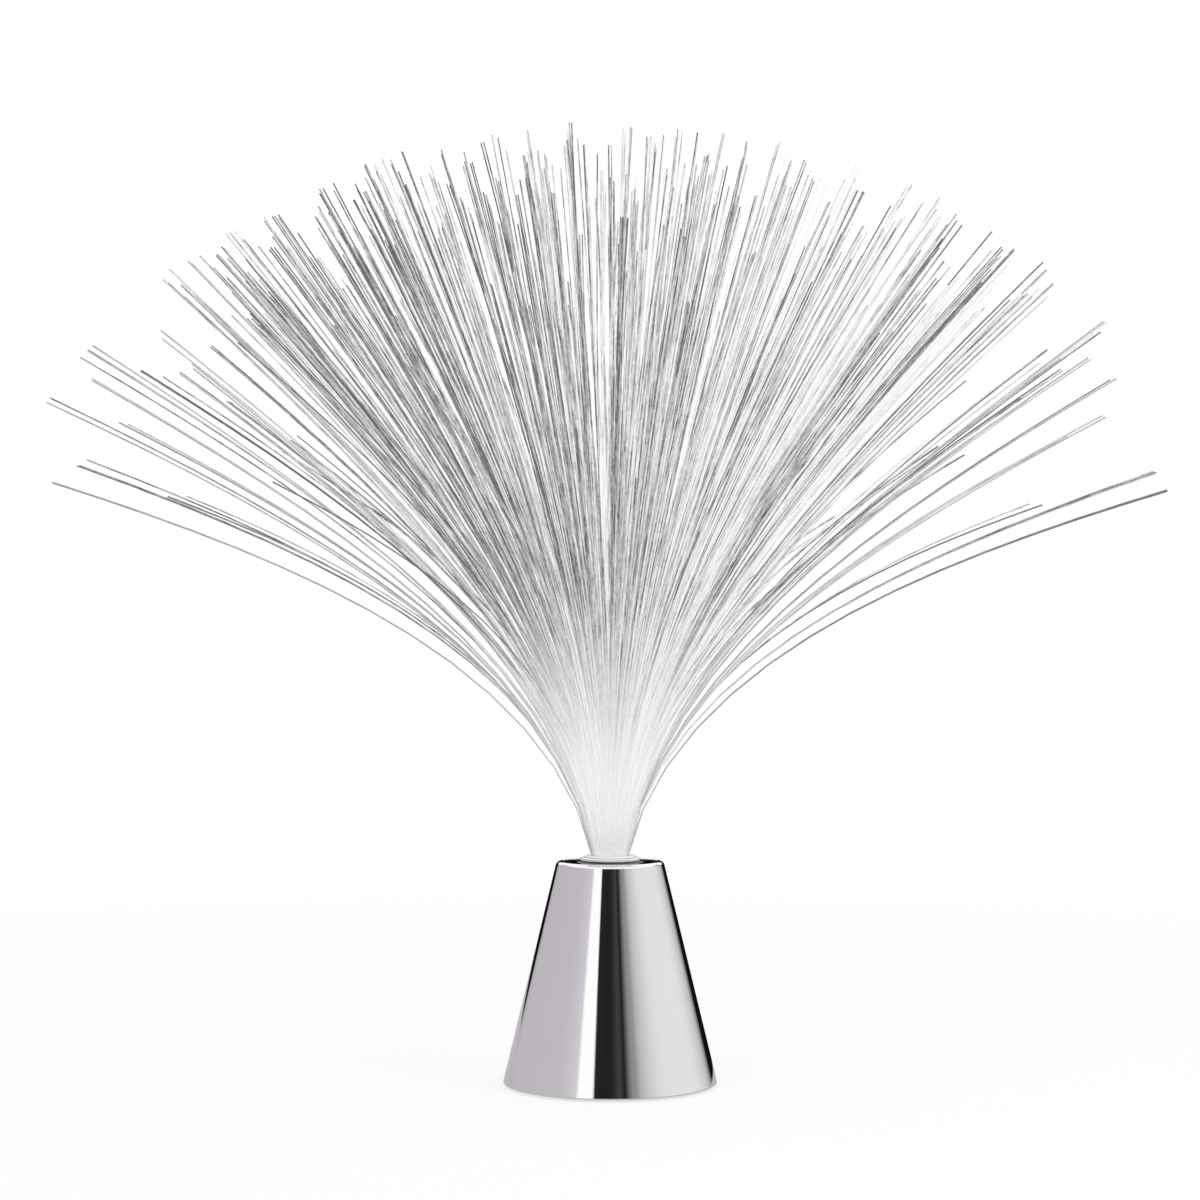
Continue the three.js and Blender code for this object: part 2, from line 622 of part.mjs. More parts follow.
function ledBoard() {
  const sheet = solid(rod(boardRadius, board.thickness, board.sides, 0, 0, boardBottom));
  const hole = led.legWidth + 2 * led.holeClearance;
  const legHoles = ledPlaces.flatMap(([x, y]) => [1, -1].map((side) => solid(box(
    hole, hole, board.thickness + 2 * overrun, x + side * led.legSpacing / 2, y, boardBottom - overrun,
  ))));
  const screwHoles = lugPlaces.map(([x, y]) => solid(rod(
    smallScrew.shankRadius + gap.fit, board.thickness + 2 * overrun, lug.sides, x, y, boardBottom - overrun,
  )));
  return without(sheet, ...legHoles, ...screwHoles);
}

function boardGroup() {
  const screwShape = geometryOf(panScrew(smallScrew, smallScrew.shankRadius, smallScrew.length));
  const ledShape = geometryOf(ledBody());
  const leds = ledColours.map((colour, i) => piece(
    `led_${colour}`, ledShape, ledLens[colour], [...ledPlaces[i], ledSeat],
  ));
  const screws = lugPlaces.map(([x, y], i) => {
    const mesh = piece(`board_screw_${i + 1}`, screwShape, zincSteel, [x, y, boardBottom - gap.seat]);
    mesh.rotation.x = Math.PI;
    return mesh;
  });
  const underside = (height) => boardBottom - gap.seat - height;
  const chipShape = box(chip.length, chip.width, chip.height, 0, -chip.offset, underside(chip.height));
  const resistors = [-1, 0, 1].map((step, i) => piece(
    `led_resistor_${i + 1}`,
    box(resistor.width, resistor.length, resistor.height, step * resistor.pitch, resistor.offset,
      underside(resistor.height)),
    resistorCeramic,
  ));
  return group(
    piece('led_board', ledBoard(), boardLaminate), ...leds, piece('driver_chip', chipShape, chipPlastic),
    ...resistors, ...screws,
  );
}

// The three leads inside the base, each a list of places chosen along its route

function leadAlong(name, route, material) {
  const curve = new THREE.CatmullRomCurve3(route.map((point) => new THREE.Vector3(...point)));
  const steps = Math.ceil(curve.getLength() / (2 * lead.radius * lead.stepDiameters));
  return piece(name, tube(curve, lead.radius, lead.sides, steps), material);
}

function leads() {
  const soldered = lead.radius + gap.fit;
  const lugTop = trayTop + contact.lugHeight;
  const switchTabTop = switchTop + slideSwitch.tabHeight;
  const clearOfTray = trayTop + contact.lugHeight + 2 * soldered;
  const boardEdge = boardRadius - 2 * soldered;
  return [
    leadAlong('lead_cells_to_switch', [
      [farCell, lugCentreY(1), lugTop + gap.fit],
      [farCell, lugCentreY(1), clearOfTray],
      [trayHalfWidth, trayHalfLength / 2, clearOfTray + soldered],
      [switchX, slideSwitch.tabPitch * 2, clearOfTray],
      [switchX, slideSwitch.tabPitch, switchTabTop + soldered],
      [switchX, slideSwitch.tabPitch, switchTabTop + gap.fit],
    ], redLead),
    leadAlong('lead_switch_to_board', [
      [switchX, 0, switchTabTop + gap.fit],
      [switchX, 0, clearOfTray],
      [switchX - soldered, 0, (clearOfTray + boardBottom) / 2],
      [boardEdge, 0, boardBottom - 4 * soldered],
      [boardEdge, 0, boardBottom - gap.fit],
    ], redLead),
    leadAlong('lead_cells_to_board', [
      [nearCell, lugCentreY(-1), lugTop + gap.fit],
      [nearCell, lugCentreY(-1), clearOfTray],
      [nearCell - soldered, -trayHalfLength / 2, (clearOfTray + boardBottom) / 2],
      [-boardEdge, 0, boardBottom - 4 * soldered],
      [-boardEdge, 0, boardBottom - gap.fit],
    ], blackLead),
  ];
}

// The spray: fibres grow from rings of three-sided roots on top of the potted bundle

// Where a fibre that leans by the given angle in the end has got to, at a share of its length.
function fibrePoint(length, finalLean, share) {
  const steps = 24;
  let out = 0;
  let up = 0;
  let lean = 0;
  for (let i = 0; i < steps; i += 1) {
    const along = share * length * (i + 0.5) / steps;
    const grown = leanAtRootShare + (1 - leanAtRootShare) * (1 - Math.exp(-along / fibre.bendLength));
    lean = finalLean * grown;
    out += Math.sin(lean) * share * length / steps;
    up += Math.cos(lean) * share * length / steps;
  }
  return { out, up, lean };
}

// The lean and length of one fibre: the ring's rank sets the lean, and a steady scatter varies both.
// A fibre of the outermost ring that leans the whole way is a little shorter than the longest.
function fibreHabit(ring, place) {
  const rank = ring / fibreRings;
  const scatter = (ring * ring + place) * goldenShare % 1;
  const outermost = ring === fibreRings;
  const strayShare = outermost ? strayShares[place % strayShares.length] : 0;
  const lean = coreLeanDeg * rank + strayLeanDeg * strayShare + leanWobbleDeg * (2 * scatter - 1) * rank;
  let lengthShare = 1 - (1 - shortestFibreShare) * (1 - scatter) ** longFibreBias;
  if (ring === 1) lengthShare = 1;
  if (strayShare === 1) lengthShare = strayLengthShare;
  return { lean: THREE.MathUtils.degToRad(lean), length: fibre.length * lengthShare };
}

// One sector of the spray: a slice of the bundle with a three-sided fibre on each outward root.
function spraySector(sector) {
  const spacing = fibre.bundleRadius / fibreRings;
  const sixths = 6 / fibreSectors;
  const start = sector * sixths;
  const positions = [];
  const triangles = [];
  const addPoint = (x, y, z) => positions.push(x, y, z) / 3 - 1;
  const addFace = (...corners) => {
    for (let i = 2; i < corners.length; i += 1) triangles.push(corners[0], corners[i - 1], corners[i]);
  };
  const angleOf = (ring, place) => (start + place / ring) * Math.PI / 3;

  // The roots' corners lie on rings; ring n has n corners in each sixth of the circle.
  const rows = [[addPoint(0, 0, 0)]];
  for (let ring = 1; ring <= fibreRings; ring += 1) {
    rows.push(Array.from({ length: sixths * ring + 1 }, (_, place) => {
      const angle = angleOf(ring, place);
      return addPoint(ring * spacing * Math.cos(angle), ring * spacing * Math.sin(angle), 0);
    }));
  }

  const growFibre = (ring, place, corners) => {
    const { lean, length } = fibreHabit(ring, start * ring + place);
    // All the fibres of a ring drift round alike, so that the rings don't line up.
    const drift = ring * goldenShare % 1 - 0.5;
    const upward = new THREE.Vector3(0, 0, 1);
    const rootRadius = (ring - 1 / 3) * spacing;
    let below = corners;
    stationShares.forEach((share) => {
      const angle = angleOf(ring, place + 0.5 + drift * share);
      const outward = new THREE.Vector3(Math.cos(angle), Math.sin(angle), 0);
      const across = new THREE.Vector3(-outward.y, outward.x, 0);
      const at = fibrePoint(length, lean, share);
      const centre = outward.clone().multiplyScalar(rootRadius + at.out).addScaledVector(upward, at.up);
      const side = outward.multiplyScalar(Math.cos(at.lean)).addScaledVector(upward, -Math.sin(at.lean));
      const above = [0, 1, 2].map((corner) => {
        const turn = Math.PI - 2 * Math.PI * corner / 3;
        const point = centre.clone()
          .addScaledVector(side, fibre.radius * Math.cos(turn))
          .addScaledVector(across, -fibre.radius * Math.sin(turn));
        return addPoint(point.x, point.y, point.z);
      });
      [0, 1, 2].forEach((corner) => {
        const next = (corner + 1) % 3;
        addFace(below[corner], below[next], above[next], above[corner]);
      });
      below = above;
    });
    addFace(...below);
  };

  for (let ring = 1; ring <= fibreRings; ring += 1) {
    for (let sixth = 0; sixth < sixths; sixth += 1) {
      for (let step = 0; step < ring; step += 1) {
        const place = sixth * ring + step;
        const inner = rows[ring - 1][sixth * (ring - 1) + step];
        growFibre(ring, place, [inner, rows[ring][place], rows[ring][place + 1]]);
        const nextInner = rows[ring - 1][sixth * (ring - 1) + step + 1];
        if (step < ring - 1) addFace(inner, rows[ring][place + 1], nextInner);
      }
    }
  }

  // The slice's floor, its round outside and its two flat sides.
  const floorZ = -fibre.sliceThickness;
  const floorCentre = addPoint(0, 0, floorZ);
  const rim = rows[fibreRings];
  const floorRim = rim.map((corner) => addPoint(positions[3 * corner], positions[3 * corner + 1], floorZ));
  for (let i = 1; i < rim.length; i += 1) {
    addFace(floorRim[i - 1], floorRim[i], rim[i], rim[i - 1]);
    addFace(floorCentre, floorRim[i], floorRim[i - 1]);
  }
  const firstSide = rows.map((row) => row[0]);
  const lastSide = rows.map((row) => row[row.length - 1]);
  addFace(floorRim[0], ...firstSide.reverse(), floorCentre);
  addFace(floorRim[floorRim.length - 1], floorCentre, ...lastSide);

  const geometry = new THREE.BufferGeometry();
  geometry.setAttribute('position', new THREE.BufferAttribute(Float32Array.from(positions), 3));
  geometry.setIndex(triangles);
  return geometry;
}

function spray() {
  const bundle = rod(fibre.bundleRadius, ferrule.length, ferrule.sides, 0, 0, bundleBottom);
  const apart = gap.fit / (2 * Math.sin(Math.PI / fibreSectors));
  const sectors = Array.from({ length: fibreSectors }, (_, i) => {
    const [x, y] = polar(apart, 360 * (i + 0.5) / fibreSectors);
    return piece(`fibre_spray_${i + 1}`, spraySector(i), clearFibre, [x, y, sprayZ + fibre.sliceThickness]);
  });
  return group(
    piece('bundle_ferrule', bundleFerrule(), clearPlastic),
    piece('fibre_bundle', bundle, clearFibre),
    ...sectors,
  );
}

// The whole lamp

const lamp = group(
  group(
    piece('cone_shell', coneShell(), chromePlate),
    piece('base_plate', basePlate(), blackPlastic),
    ...baseScrews(),
    ...rubberFeet(),
  ),
  piece('battery_door', batteryDoor(), blackPlastic, [0, hingeY, hingeZ]),
  group(...dryCells(), ...contacts.map(endContact)),
  slideSwitchGroup(),
  group(piece('neck_socket', neckSocket(), blackPlastic), piece('neck_collar', neckCollar(), clearPlastic)),
  boardGroup(),
  group(...leads()),
  spray(),
);

export default lamp;
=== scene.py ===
"""The looks of a battery fibre optic lamp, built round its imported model."""

import logging
import math
from dataclasses import dataclass
from enum import Enum
from functools import cache, cached_property, partial

import bmesh
import bpy
from mathutils import Matrix, Vector


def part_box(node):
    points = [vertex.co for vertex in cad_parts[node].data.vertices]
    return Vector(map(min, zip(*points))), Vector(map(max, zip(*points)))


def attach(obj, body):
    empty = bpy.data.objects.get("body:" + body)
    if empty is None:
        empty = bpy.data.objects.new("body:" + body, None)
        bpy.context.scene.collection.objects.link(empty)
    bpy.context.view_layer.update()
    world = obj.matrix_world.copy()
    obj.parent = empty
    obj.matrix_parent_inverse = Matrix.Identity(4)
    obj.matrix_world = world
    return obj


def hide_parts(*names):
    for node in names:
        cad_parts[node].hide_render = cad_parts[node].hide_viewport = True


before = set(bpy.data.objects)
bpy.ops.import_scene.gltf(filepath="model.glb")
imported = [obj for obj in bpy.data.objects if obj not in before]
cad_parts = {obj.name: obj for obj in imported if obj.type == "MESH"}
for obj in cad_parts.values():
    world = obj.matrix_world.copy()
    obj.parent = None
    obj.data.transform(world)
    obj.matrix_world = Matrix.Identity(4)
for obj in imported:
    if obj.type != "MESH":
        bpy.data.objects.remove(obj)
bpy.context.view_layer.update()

LOG = logging.getLogger("lamp")
MM = 0.001
GOLDEN_SHARE = (math.sqrt(5) - 1) / 2
# Edges that turn more than this stay sharp.
SHARP_DEG = 32.0
# A cutting shape reaches this far, in millimetres, past the face that it opens.
SPARE = 1.0
# Centred noise reaches about a quarter either way, so this much brings it near one.
NOISE_SWING = 4.0
# By this many times its mottle share a finish's roughness varies either way, and its colour darkens.
GLOSS_SWING = 3.0
COLOUR_SWING = 2.0

COMBINE = "ShaderNodeCombineXYZ"
SEPARATE = "ShaderNodeSeparateXYZ"
MAP_RANGE = "ShaderNodeMapRange"
MIX = "ShaderNodeMix"
MIX_SHADER = "ShaderNodeMixShader"
NOISE = "ShaderNodeTexNoise"

Pair = tuple[float, float]
Triple = tuple[float, float, float]
Colour = tuple[float, float, float, float]
Stops = tuple[tuple[float, str], ...]
Node = bpy.types.Node
Object = bpy.types.Object
Socket = bpy.types.NodeSocket
Tree = bpy.types.NodeTree
Sizes = dict[str, int | float | Vector]


class Body(Enum):
    """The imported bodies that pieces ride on."""

    BASE = "base"
    COLLAR = "collar"
    SPRAY = "spray"
    SLIDER = "switch_slider"
    DOOR = "battery_door"


class Axis(Enum):
    """The axes of the lamp's frame."""

    X = "X"
    Y = "Y"
    Z = "Z"


class Carve(Enum):
    """What a shape does to the piece that it meets."""

    JOIN = "UNION"
    CUT = "DIFFERENCE"


class Draw(Enum):
    """The random numbers that each fibre gets, by their offset from the seed."""

    LENGTH = 0
    LEAN = 1
    TURN = 2
    ROOT = 3
    TONE = 4
    LANE = 5


class Op(Enum):
    """What a Math node works out."""

    PLUS = "ADD"
    MINUS = "SUBTRACT"
    TIMES = "MULTIPLY"
    OVER = "DIVIDE"
    TIMES_PLUS = "MULTIPLY_ADD"
    POWER = "POWER"
    ROOT = "SQRT"
    EXPONENT = "EXPONENT"
    SIZE = "ABSOLUTE"
    FLOOR = "FLOOR"
    FRACTION = "FRACT"
    REST = "FLOORED_MODULO"
    LARGER = "MAXIMUM"
    ABOVE = "GREATER_THAN"
    BELOW = "LESS_THAN"
    SINE = "SINE"
    COSINE = "COSINE"
    ARCTAN2 = "ARCTAN2"


class VectorOp(Enum):
    """What a Vector Math node works out."""

    PLUS = "ADD"
    MINUS = "SUBTRACT"
    TIMES = "MULTIPLY"
    SCALE = "SCALE"
    LENGTH = "LENGTH"


def rgb(code: str) -> Colour:
    """Turn an sRGB hex code into a linear colour.

    Args:
        code: A hash and six hex digits.

    Returns:
        Linear red, green and blue, with an alpha of 1.
    """
    shares = [int(code[i:i + 2], 16) / 255 for i in (1, 3, 5)]
    linear = [s / 12.92 if s <= 0.04045 else ((s + 0.055) / 1.055) ** 2.4 for s in shares]
    return (*linear, 1.0)


def add(tree: Tree, kind: str | Op | VectorOp, inputs: dict | list | None = None, **settings) -> Node:
    """Add a node to a tree.

    Args:
        tree: The tree that the node goes into.
        kind: The node's type, or what a Math or Vector Math node works out.
        inputs: Values, sockets or nodes for its inputs, by name or place, or in order. A node gives its
            first output.
        settings: The node's own properties.

    Returns:
        The new node.
    """
    if isinstance(kind, (Op, VectorOp)):
        settings["operation"] = kind.value
        kind = "ShaderNodeMath" if isinstance(kind, Op) else "ShaderNodeVectorMath"
    node = tree.nodes.new(kind)
    for name, value in settings.items():
        setattr(node, name, value)
    for key, value in inputs.items() if isinstance(inputs, dict) else enumerate(inputs or []):
        if isinstance(value, Node):
            value = value.outputs[0]
        if isinstance(value, Socket):
            tree.links.new(value, node.inputs[key])
        else:
            node.inputs[key].default_value = value
    return node


def fill_ramp(ramp: bpy.types.ColorRamp, stops: Stops) -> None:
    """Give a colour ramp its stops.

    Args:
        ramp: The ramp of a Color Ramp node.
        stops: Places from 0 to 1, each with an sRGB hex code.
    """
    while len(ramp.elements) < len(stops):
        ramp.elements.new(1.0)
    for element, (place, code) in zip(ramp.elements, stops):
        element.position = place
        element.color = rgb(code)


# Finishes


@dataclass(frozen=True)
class Finish:
    """A surface as it is made: its colour and gloss, how both vary, and its grain in relief."""

    name: str
    colour: str
    roughness: float
    metallic: float = 0.0
    ior: float = 1.5
    mottle_mm: float = 8.0
    mottle_share: float = 0.08
    grain_mm: float = 0.3
    relief_mm: float = 0.004

    @cache
    def material(self) -> bpy.types.Material:
        """Build the material once.

        Returns:
            The material, which reads Object coordinates.
        """
        material = bpy.data.materials.new(self.name)
        material.use_nodes = True
        tree = material.node_tree
        shader = tree.nodes["Principled BSDF"]
        shader.inputs["Metallic"].default_value = self.metallic
        shader.inputs["IOR"].default_value = self.ior
        place = add(tree, "ShaderNodeTexCoord").outputs["Object"]
        mottle, grain = (
            add(tree, NOISE, {"Vector": place, "Scale": 1 / (size_mm * MM), "Detail": detail})
            for size_mm, detail in ((self.mottle_mm, 3.0), (self.grain_mm, 2.0))
        )
        spread = self.roughness * self.mottle_share * GLOSS_SWING
        gloss = add(tree, MAP_RANGE, {
            "Value": mottle, "To Min": self.roughness - spread, "To Max": self.roughness + spread})
        bump = add(tree, "ShaderNodeBump", {
            "Height": grain, "Distance": self.relief_mm * MM, "Strength": 1.0})
        tree.links.new(gloss.outputs[0], shader.inputs["Roughness"])
        tree.links.new(bump.outputs[0], shader.inputs["Normal"])
        tree.links.new(self.tint(tree, place, mottle), shader.inputs["Base Color"])
        self.settle(shader)
        return material

    def tint(self, tree: Tree, place: Socket, mottle: Node) -> Socket:
        """Vary the colour a little from patch to patch.

        Args:
            tree: The material's tree.
            place: Object coordinates.
            mottle: The patches, from 0 to 1.

        Returns:
            The colour's socket.
        """
        darker = tuple(c * (1 - COLOUR_SWING * self.mottle_share) for c in rgb(self.colour)[:3])
        return add(tree, MIX, {"Factor": mottle, 6: rgb(self.colour), 7: (*darker, 1.0)},
                   data_type="RGBA").outputs[2]

    def settle(self, shader: Node) -> None:
        """Leave the shader as it is: a finish with more to it sets its own sockets here."""


@dataclass(frozen=True)
class ClearFinish(Finish):
    """A clear plastic, which light goes through."""

    transmission: float = 1.0

    def settle(self, shader: Node) -> None:
        """Let light through."""
        shader.inputs["Transmission Weight"].default_value = self.transmission


@dataclass(frozen=True)
class BandedFinish(Finish):
    """A film or mask with plain bands across it along one axis."""

    band_colour: str = "#D8D9DA"
    axis: Axis = Axis.Y
    band_mm: float = 0.6
    share: float = 0.5

    def tint(self, tree: Tree, place: Socket, mottle: Node) -> Socket:
        """Lay bands of the second colour over the first.

        Args:
            tree: The material's tree.
            place: Object coordinates.
            mottle: The patches, from 0 to 1.

        Returns:
            The colour's socket.
        """
        across = add(tree, SEPARATE, [place]).outputs[self.axis.value]
        phase = add(tree, Op.FRACTION, [add(tree, Op.TIMES, [across, 1 / (self.band_mm * MM)])])
        band = add(tree, Op.BELOW, [phase, self.share])
        base = super().tint(tree, place, mottle)
        return add(tree, MIX, {"Factor": band, 6: base, 7: rgb(self.band_colour)},
                   data_type="RGBA").outputs[2]


@dataclass(frozen=True)
class FibreFinish(Finish):
    """Drawn acrylic fibre: grey and glassy along its length, with painted glints and dark streaks, and painted
    light that makes it near white at the root, where many stand together.
    """

    painted_root_light_colour: str = "#FAFAFA"
    dark_colour: str = "#626262"
    painted_glint_colour: str = "#FCFCFC"
    length_mm: float = 250.0
    streak_mm: float = 18.0
    painted_glint_band: Pair = (0.32, 0.68)
    tip_from: float = 0.65
    tip_darker_by: float = 0.08
    painted_root_light_band: Pair = (0.07, 0.46)
    edge_grey_share: float = 0.7
    edge_painted_shade: float = 0.2
    edge_steady_share: float = 0.7

    def tint(self, tree: Tree, place: Socket, mottle: Node) -> Socket:
        """Give each fibre its own grey, with painted glints and dark streaks along it, painted shade at the
        spray's sides, and painted light that makes the root pale but at the sides.

        Args:
            tree: The material's tree.
            place: Object coordinates, not used because the streaks follow the fibre.
            mottle: Patches, not used for the same reason.

        Returns:
            The colour's socket.
        """
        put = partial(add, tree)
        along, tone, lane, edge = (
            put("ShaderNodeAttribute", attribute_name=label).outputs["Fac"]
            for label in ("along", "tone", "lane", "edge")
        )
        # Painted glints and dark streaks along each fibre, for the light that its glass refracts.
        run = put(Op.TIMES, [along, self.length_mm / self.streak_mm])
        streak = put(NOISE, {"Vector": put(COMBINE, [run, lane, 0.0]), "Scale": 1.0, "Detail": 4.0,
                             "Roughness": 0.8})
        low, high = self.painted_glint_band
        painted_glint_lift = put(MAP_RANGE, {"Value": streak, "From Min": low, "From Max": high, "To Min": -0.5,
                               "To Max": 0.5})
        tip = put(MAP_RANGE, {"Value": along, "From Min": self.tip_from, "From Max": 1.0, "To Min": 0.0,
                              "To Max": -self.tip_darker_by})
        # At the spray's sides single fibres stand against the white, an even grey from end to end.
        unsteady = put(Op.TIMES_PLUS, [edge, -self.edge_steady_share, 1.0])
        streaked = put(Op.TIMES_PLUS, [painted_glint_lift, unsteady, tone])
        # Painted shade: fibres at the spray's sides are darker, for the darker surroundings that they refract.
        darker = put(Op.TIMES_PLUS, [edge, -self.edge_painted_shade, tip])
        ramp = put("ShaderNodeValToRGB", [put(Op.PLUS, [streaked, darker])])
        fill_ramp(ramp.color_ramp, ((0.0, self.dark_colour), (0.5, self.colour), (1.0, self.painted_glint_colour)))
        # Painted light: the root is near white, for the light that the many clear fibres there pass to each
        # other, and at the spray's sides it stays greyer.
        low, high = self.painted_root_light_band
        root = put(MAP_RANGE, {"Value": along, "From Min": low, "From Max": high, "To Min": 1.0,
                               "To Max": 0.0}, interpolation_type="SMOOTHSTEP")
        pale = put(Op.TIMES, [root, put(Op.TIMES_PLUS, [edge, -self.edge_grey_share, 1.0])])
        return put(MIX, {"Factor": pale, 6: ramp, 7: rgb(self.painted_root_light_colour)}, data_type="RGBA").outputs[2]


# Bright chrome on moulded ABS: a mirror, which the moulding under it leaves faintly uneven.
CHROME = Finish("bright_chrome_on_abs", "#E6E6E9", 0.035, metallic=1.0, mottle_mm=25.0, mottle_share=0.02,
                grain_mm=14.0, relief_mm=0.012)
# Moulded ABS with a fine spark-eroded texture: black, with a soft sheen.
BLACK_ABS = Finish("spark_textured_black_abs", "#1B1B1C", 0.42, ior=1.53, grain_mm=0.35, relief_mm=0.012)
# ABS moulded in a polished cavity: deep black, and at a low angle it mirrors what stands on it.
POLISHED_ABS = Finish("polished_black_abs", "#0B0B0C", 0.07, ior=1.53, mottle_mm=20.0, mottle_share=0.04,
                      grain_mm=6.0, relief_mm=0.004)
# Injection moulded acrylic: satin, milky white where light gathers in it, with the faint ripple of its flow.
CLEAR_ACRYLIC = ClearFinish("moulded_clear_acrylic", "#FDFDFD", 0.28, ior=1.49, mottle_share=0.01,
                            grain_mm=5.0, relief_mm=0.004, transmission=0.15)
# Drawn acrylic fibre: each is a fine grey line with painted glints along it, darker or brighter than the next.
DRAWN_FIBRE = FibreFinish("drawn_acrylic_fibre", "#C4C4C4", 0.16, ior=1.49, grain_mm=2.0, relief_mm=0.002)
# Fibre ends potted in clear epoxy and cut: milky, with each end a small dimple.
POTTED_FIBRE = Finish("potted_fibre_ends", "#EFEFEF", 0.3, ior=1.5, mottle_mm=0.5, mottle_share=0.1,
                      grain_mm=0.5, relief_mm=0.03)
# Moulded nitrile rubber: matt, dark and slightly dusty.
RUBBER = Finish("moulded_nitrile_rubber", "#242425", 0.85, ior=1.52, mottle_mm=2.0, mottle_share=0.15,
                grain_mm=0.2, relief_mm=0.02)
# Bright zinc plated steel: silver with a blue cast, softly cloudy.
ZINC_STEEL = Finish("bright_zinc_plated_steel", "#B9BCC0", 0.3, metallic=1.0, mottle_mm=1.5, grain_mm=0.15,
                    relief_mm=0.006)
# Nickel plated spring steel: warm silver with fine rolling marks.
NICKEL_STEEL = BandedFinish("nickel_plated_spring_steel", "#C9C5BA", 0.28, metallic=1.0, mottle_mm=3.0,
                            grain_mm=0.12, relief_mm=0.006, band_colour="#BDB9AE", axis=Axis.Z, band_mm=0.4)
# Shrink film over the cell's can: plain slate blue with a satin gloss.
CELL_FILM = Finish("printed_shrink_film", "#3F6F8F", 0.32, ior=1.5, mottle_mm=5.0, grain_mm=1.2,
                   relief_mm=0.01)
# Drawn steel of the cell's ends: bright, with fine turning marks.
CELL_STEEL = Finish("drawn_can_steel", "#C4C5C6", 0.26, metallic=1.0, mottle_mm=1.5, grain_mm=0.1,
                    relief_mm=0.004)
# Glass laminate under a green mask: the copper tracks show through as lighter bands.
LAMINATE = BandedFinish("masked_glass_laminate", "#1F5A34", 0.38, ior=1.55, mottle_mm=3.0, grain_mm=0.4,
                        relief_mm=0.01, band_colour="#2F7A48", axis=Axis.X, band_mm=1.9, share=0.4)
# Moulded epoxy of the chip: matt charcoal.
EPOXY = Finish("moulded_epoxy", "#232325", 0.6, ior=1.55, mottle_mm=1.0, grain_mm=0.15, relief_mm=0.01)
# Fired ceramic with a glass coat: dark and slightly glossy.
CERAMIC = Finish("fired_ceramic", "#2A2622", 0.4, ior=1.6, mottle_mm=0.8, grain_mm=0.15, relief_mm=0.006)
# Extruded PVC insulation: satin, faintly drawn along the lead.
RED_PVC, BLACK_PVC = (
    Finish(name, colour, 0.45, ior=1.53, mottle_mm=4.0, grain_mm=0.4, relief_mm=0.01)
    for name, colour in (("red_pvc_insulation", "#A8221C"), ("black_pvc_insulation", "#1E1E20"))
)
# Cast epoxy lenses of the LEDs: tinted and glossy.
RED_LENS, GREEN_LENS, BLUE_LENS = (
    ClearFinish(name, colour, 0.08, ior=1.53, transmission=0.6, relief_mm=0.001)
    for name, colour in (("red_cast_lens", "#D8564E"), ("green_cast_lens", "#4FBF68"),
                         ("blue_cast_lens", "#5478DC"))
)


# Mesh helpers, all in millimetres


def linked(name: str, data: bpy.types.ID) -> Object:
    """Make an object of its data and link it to the scene.

    Args:
        name: The object's name.
        data: Its mesh, lamp or camera.

    Returns:
        The object.
    """
    made = bpy.data.objects.new(name, data)
    bpy.context.scene.collection.objects.link(made)
    return made


def smoothed(mesh: bpy.types.Mesh) -> None:
    """Shade a mesh smooth but for its sharp edges."""
    mesh.shade_smooth()
    mesh.set_sharp_from_angle(angle=math.radians(SHARP_DEG))


def mesh_object(name: str, points: list[Triple], faces: list[list[int]], finish: Finish) -> Object:
    """Make an object of points and faces.

    Args:
        name: The piece's name.
        points: Corners in millimetres.
        faces: Lists of corner numbers, anticlockwise from outside.
        finish: The finish of the whole surface.

    Returns:
        The object, linked to the scene.
    """
    mesh = bpy.data.meshes.new(name)
    mesh.from_pydata([[c * MM for c in point] for point in points], [], faces)
    mesh.materials.append(finish.material())
    smoothed(mesh)
    return linked(name, mesh)


def rounded(corners: list[Triple], steps: int = 5) -> list[Pair]:
    """Round the corners of a closed outline.

    Args:
        corners: Across, up and fillet radius of each corner, in millimetres.
        steps: Straight stretches in each fillet.

    Returns:
        The outline's points.
    """
    outline = []
    for i, (across, up, radius) in enumerate(corners):
        if radius == 0:
            outline.append((across, up))
            continue
        here = Vector((across, up))
        back = (Vector(corners[i - 1][:2]) - here).normalized()
        ahead = (Vector(corners[(i + 1) % len(corners)][:2]) - here).normalized()
        half = back.angle(ahead) / 2
        centre = here + (back + ahead).normalized() * (radius / math.sin(half))
        first = here + back * (radius / math.tan(half)) - centre
        last = here + ahead * (radius / math.tan(half)) - centre
        swing = first.angle(last)
        for step in range(steps + 1):
            share = step / steps
            arm = (first * math.sin((1 - share) * swing) + last * math.sin(share * swing)) / math.sin(swing)
            outline.append(tuple(centre + arm))
    return outline


def lathe(name: str, outline: list[Pair], sides: int, finish: Finish) -> Object:
    """Turn a closed outline about the vertical axis.

    Args:
        name: The piece's name.
        outline: Radius and height of each point, anticlockwise with the axis on its left.
        sides: Steps in a full turn.
        finish: The finish of the whole surface.

    Returns:
        The turned solid.
    """
    points, rows = [], []
    for radius, height in outline:
        if radius < 1e-6:
            rows.append([len(points)] * sides)
            points.append((0.0, 0.0, height))
            continue
        rows.append(list(range(len(points), len(points) + sides)))
        for i in range(sides):
            angle = 2 * math.pi * i / sides
            points.append((radius * math.cos(angle), radius * math.sin(angle), height))
    faces = []
    for low, high in zip(rows, rows[1:] + rows[:1]):
        for i in range(sides):
            ahead = (i + 1) % sides
            corners = list(dict.fromkeys([low[i], low[ahead], high[ahead], high[i]]))
            if len(corners) > 2:
                faces.append(corners)
    return mesh_object(name, points, faces, finish)


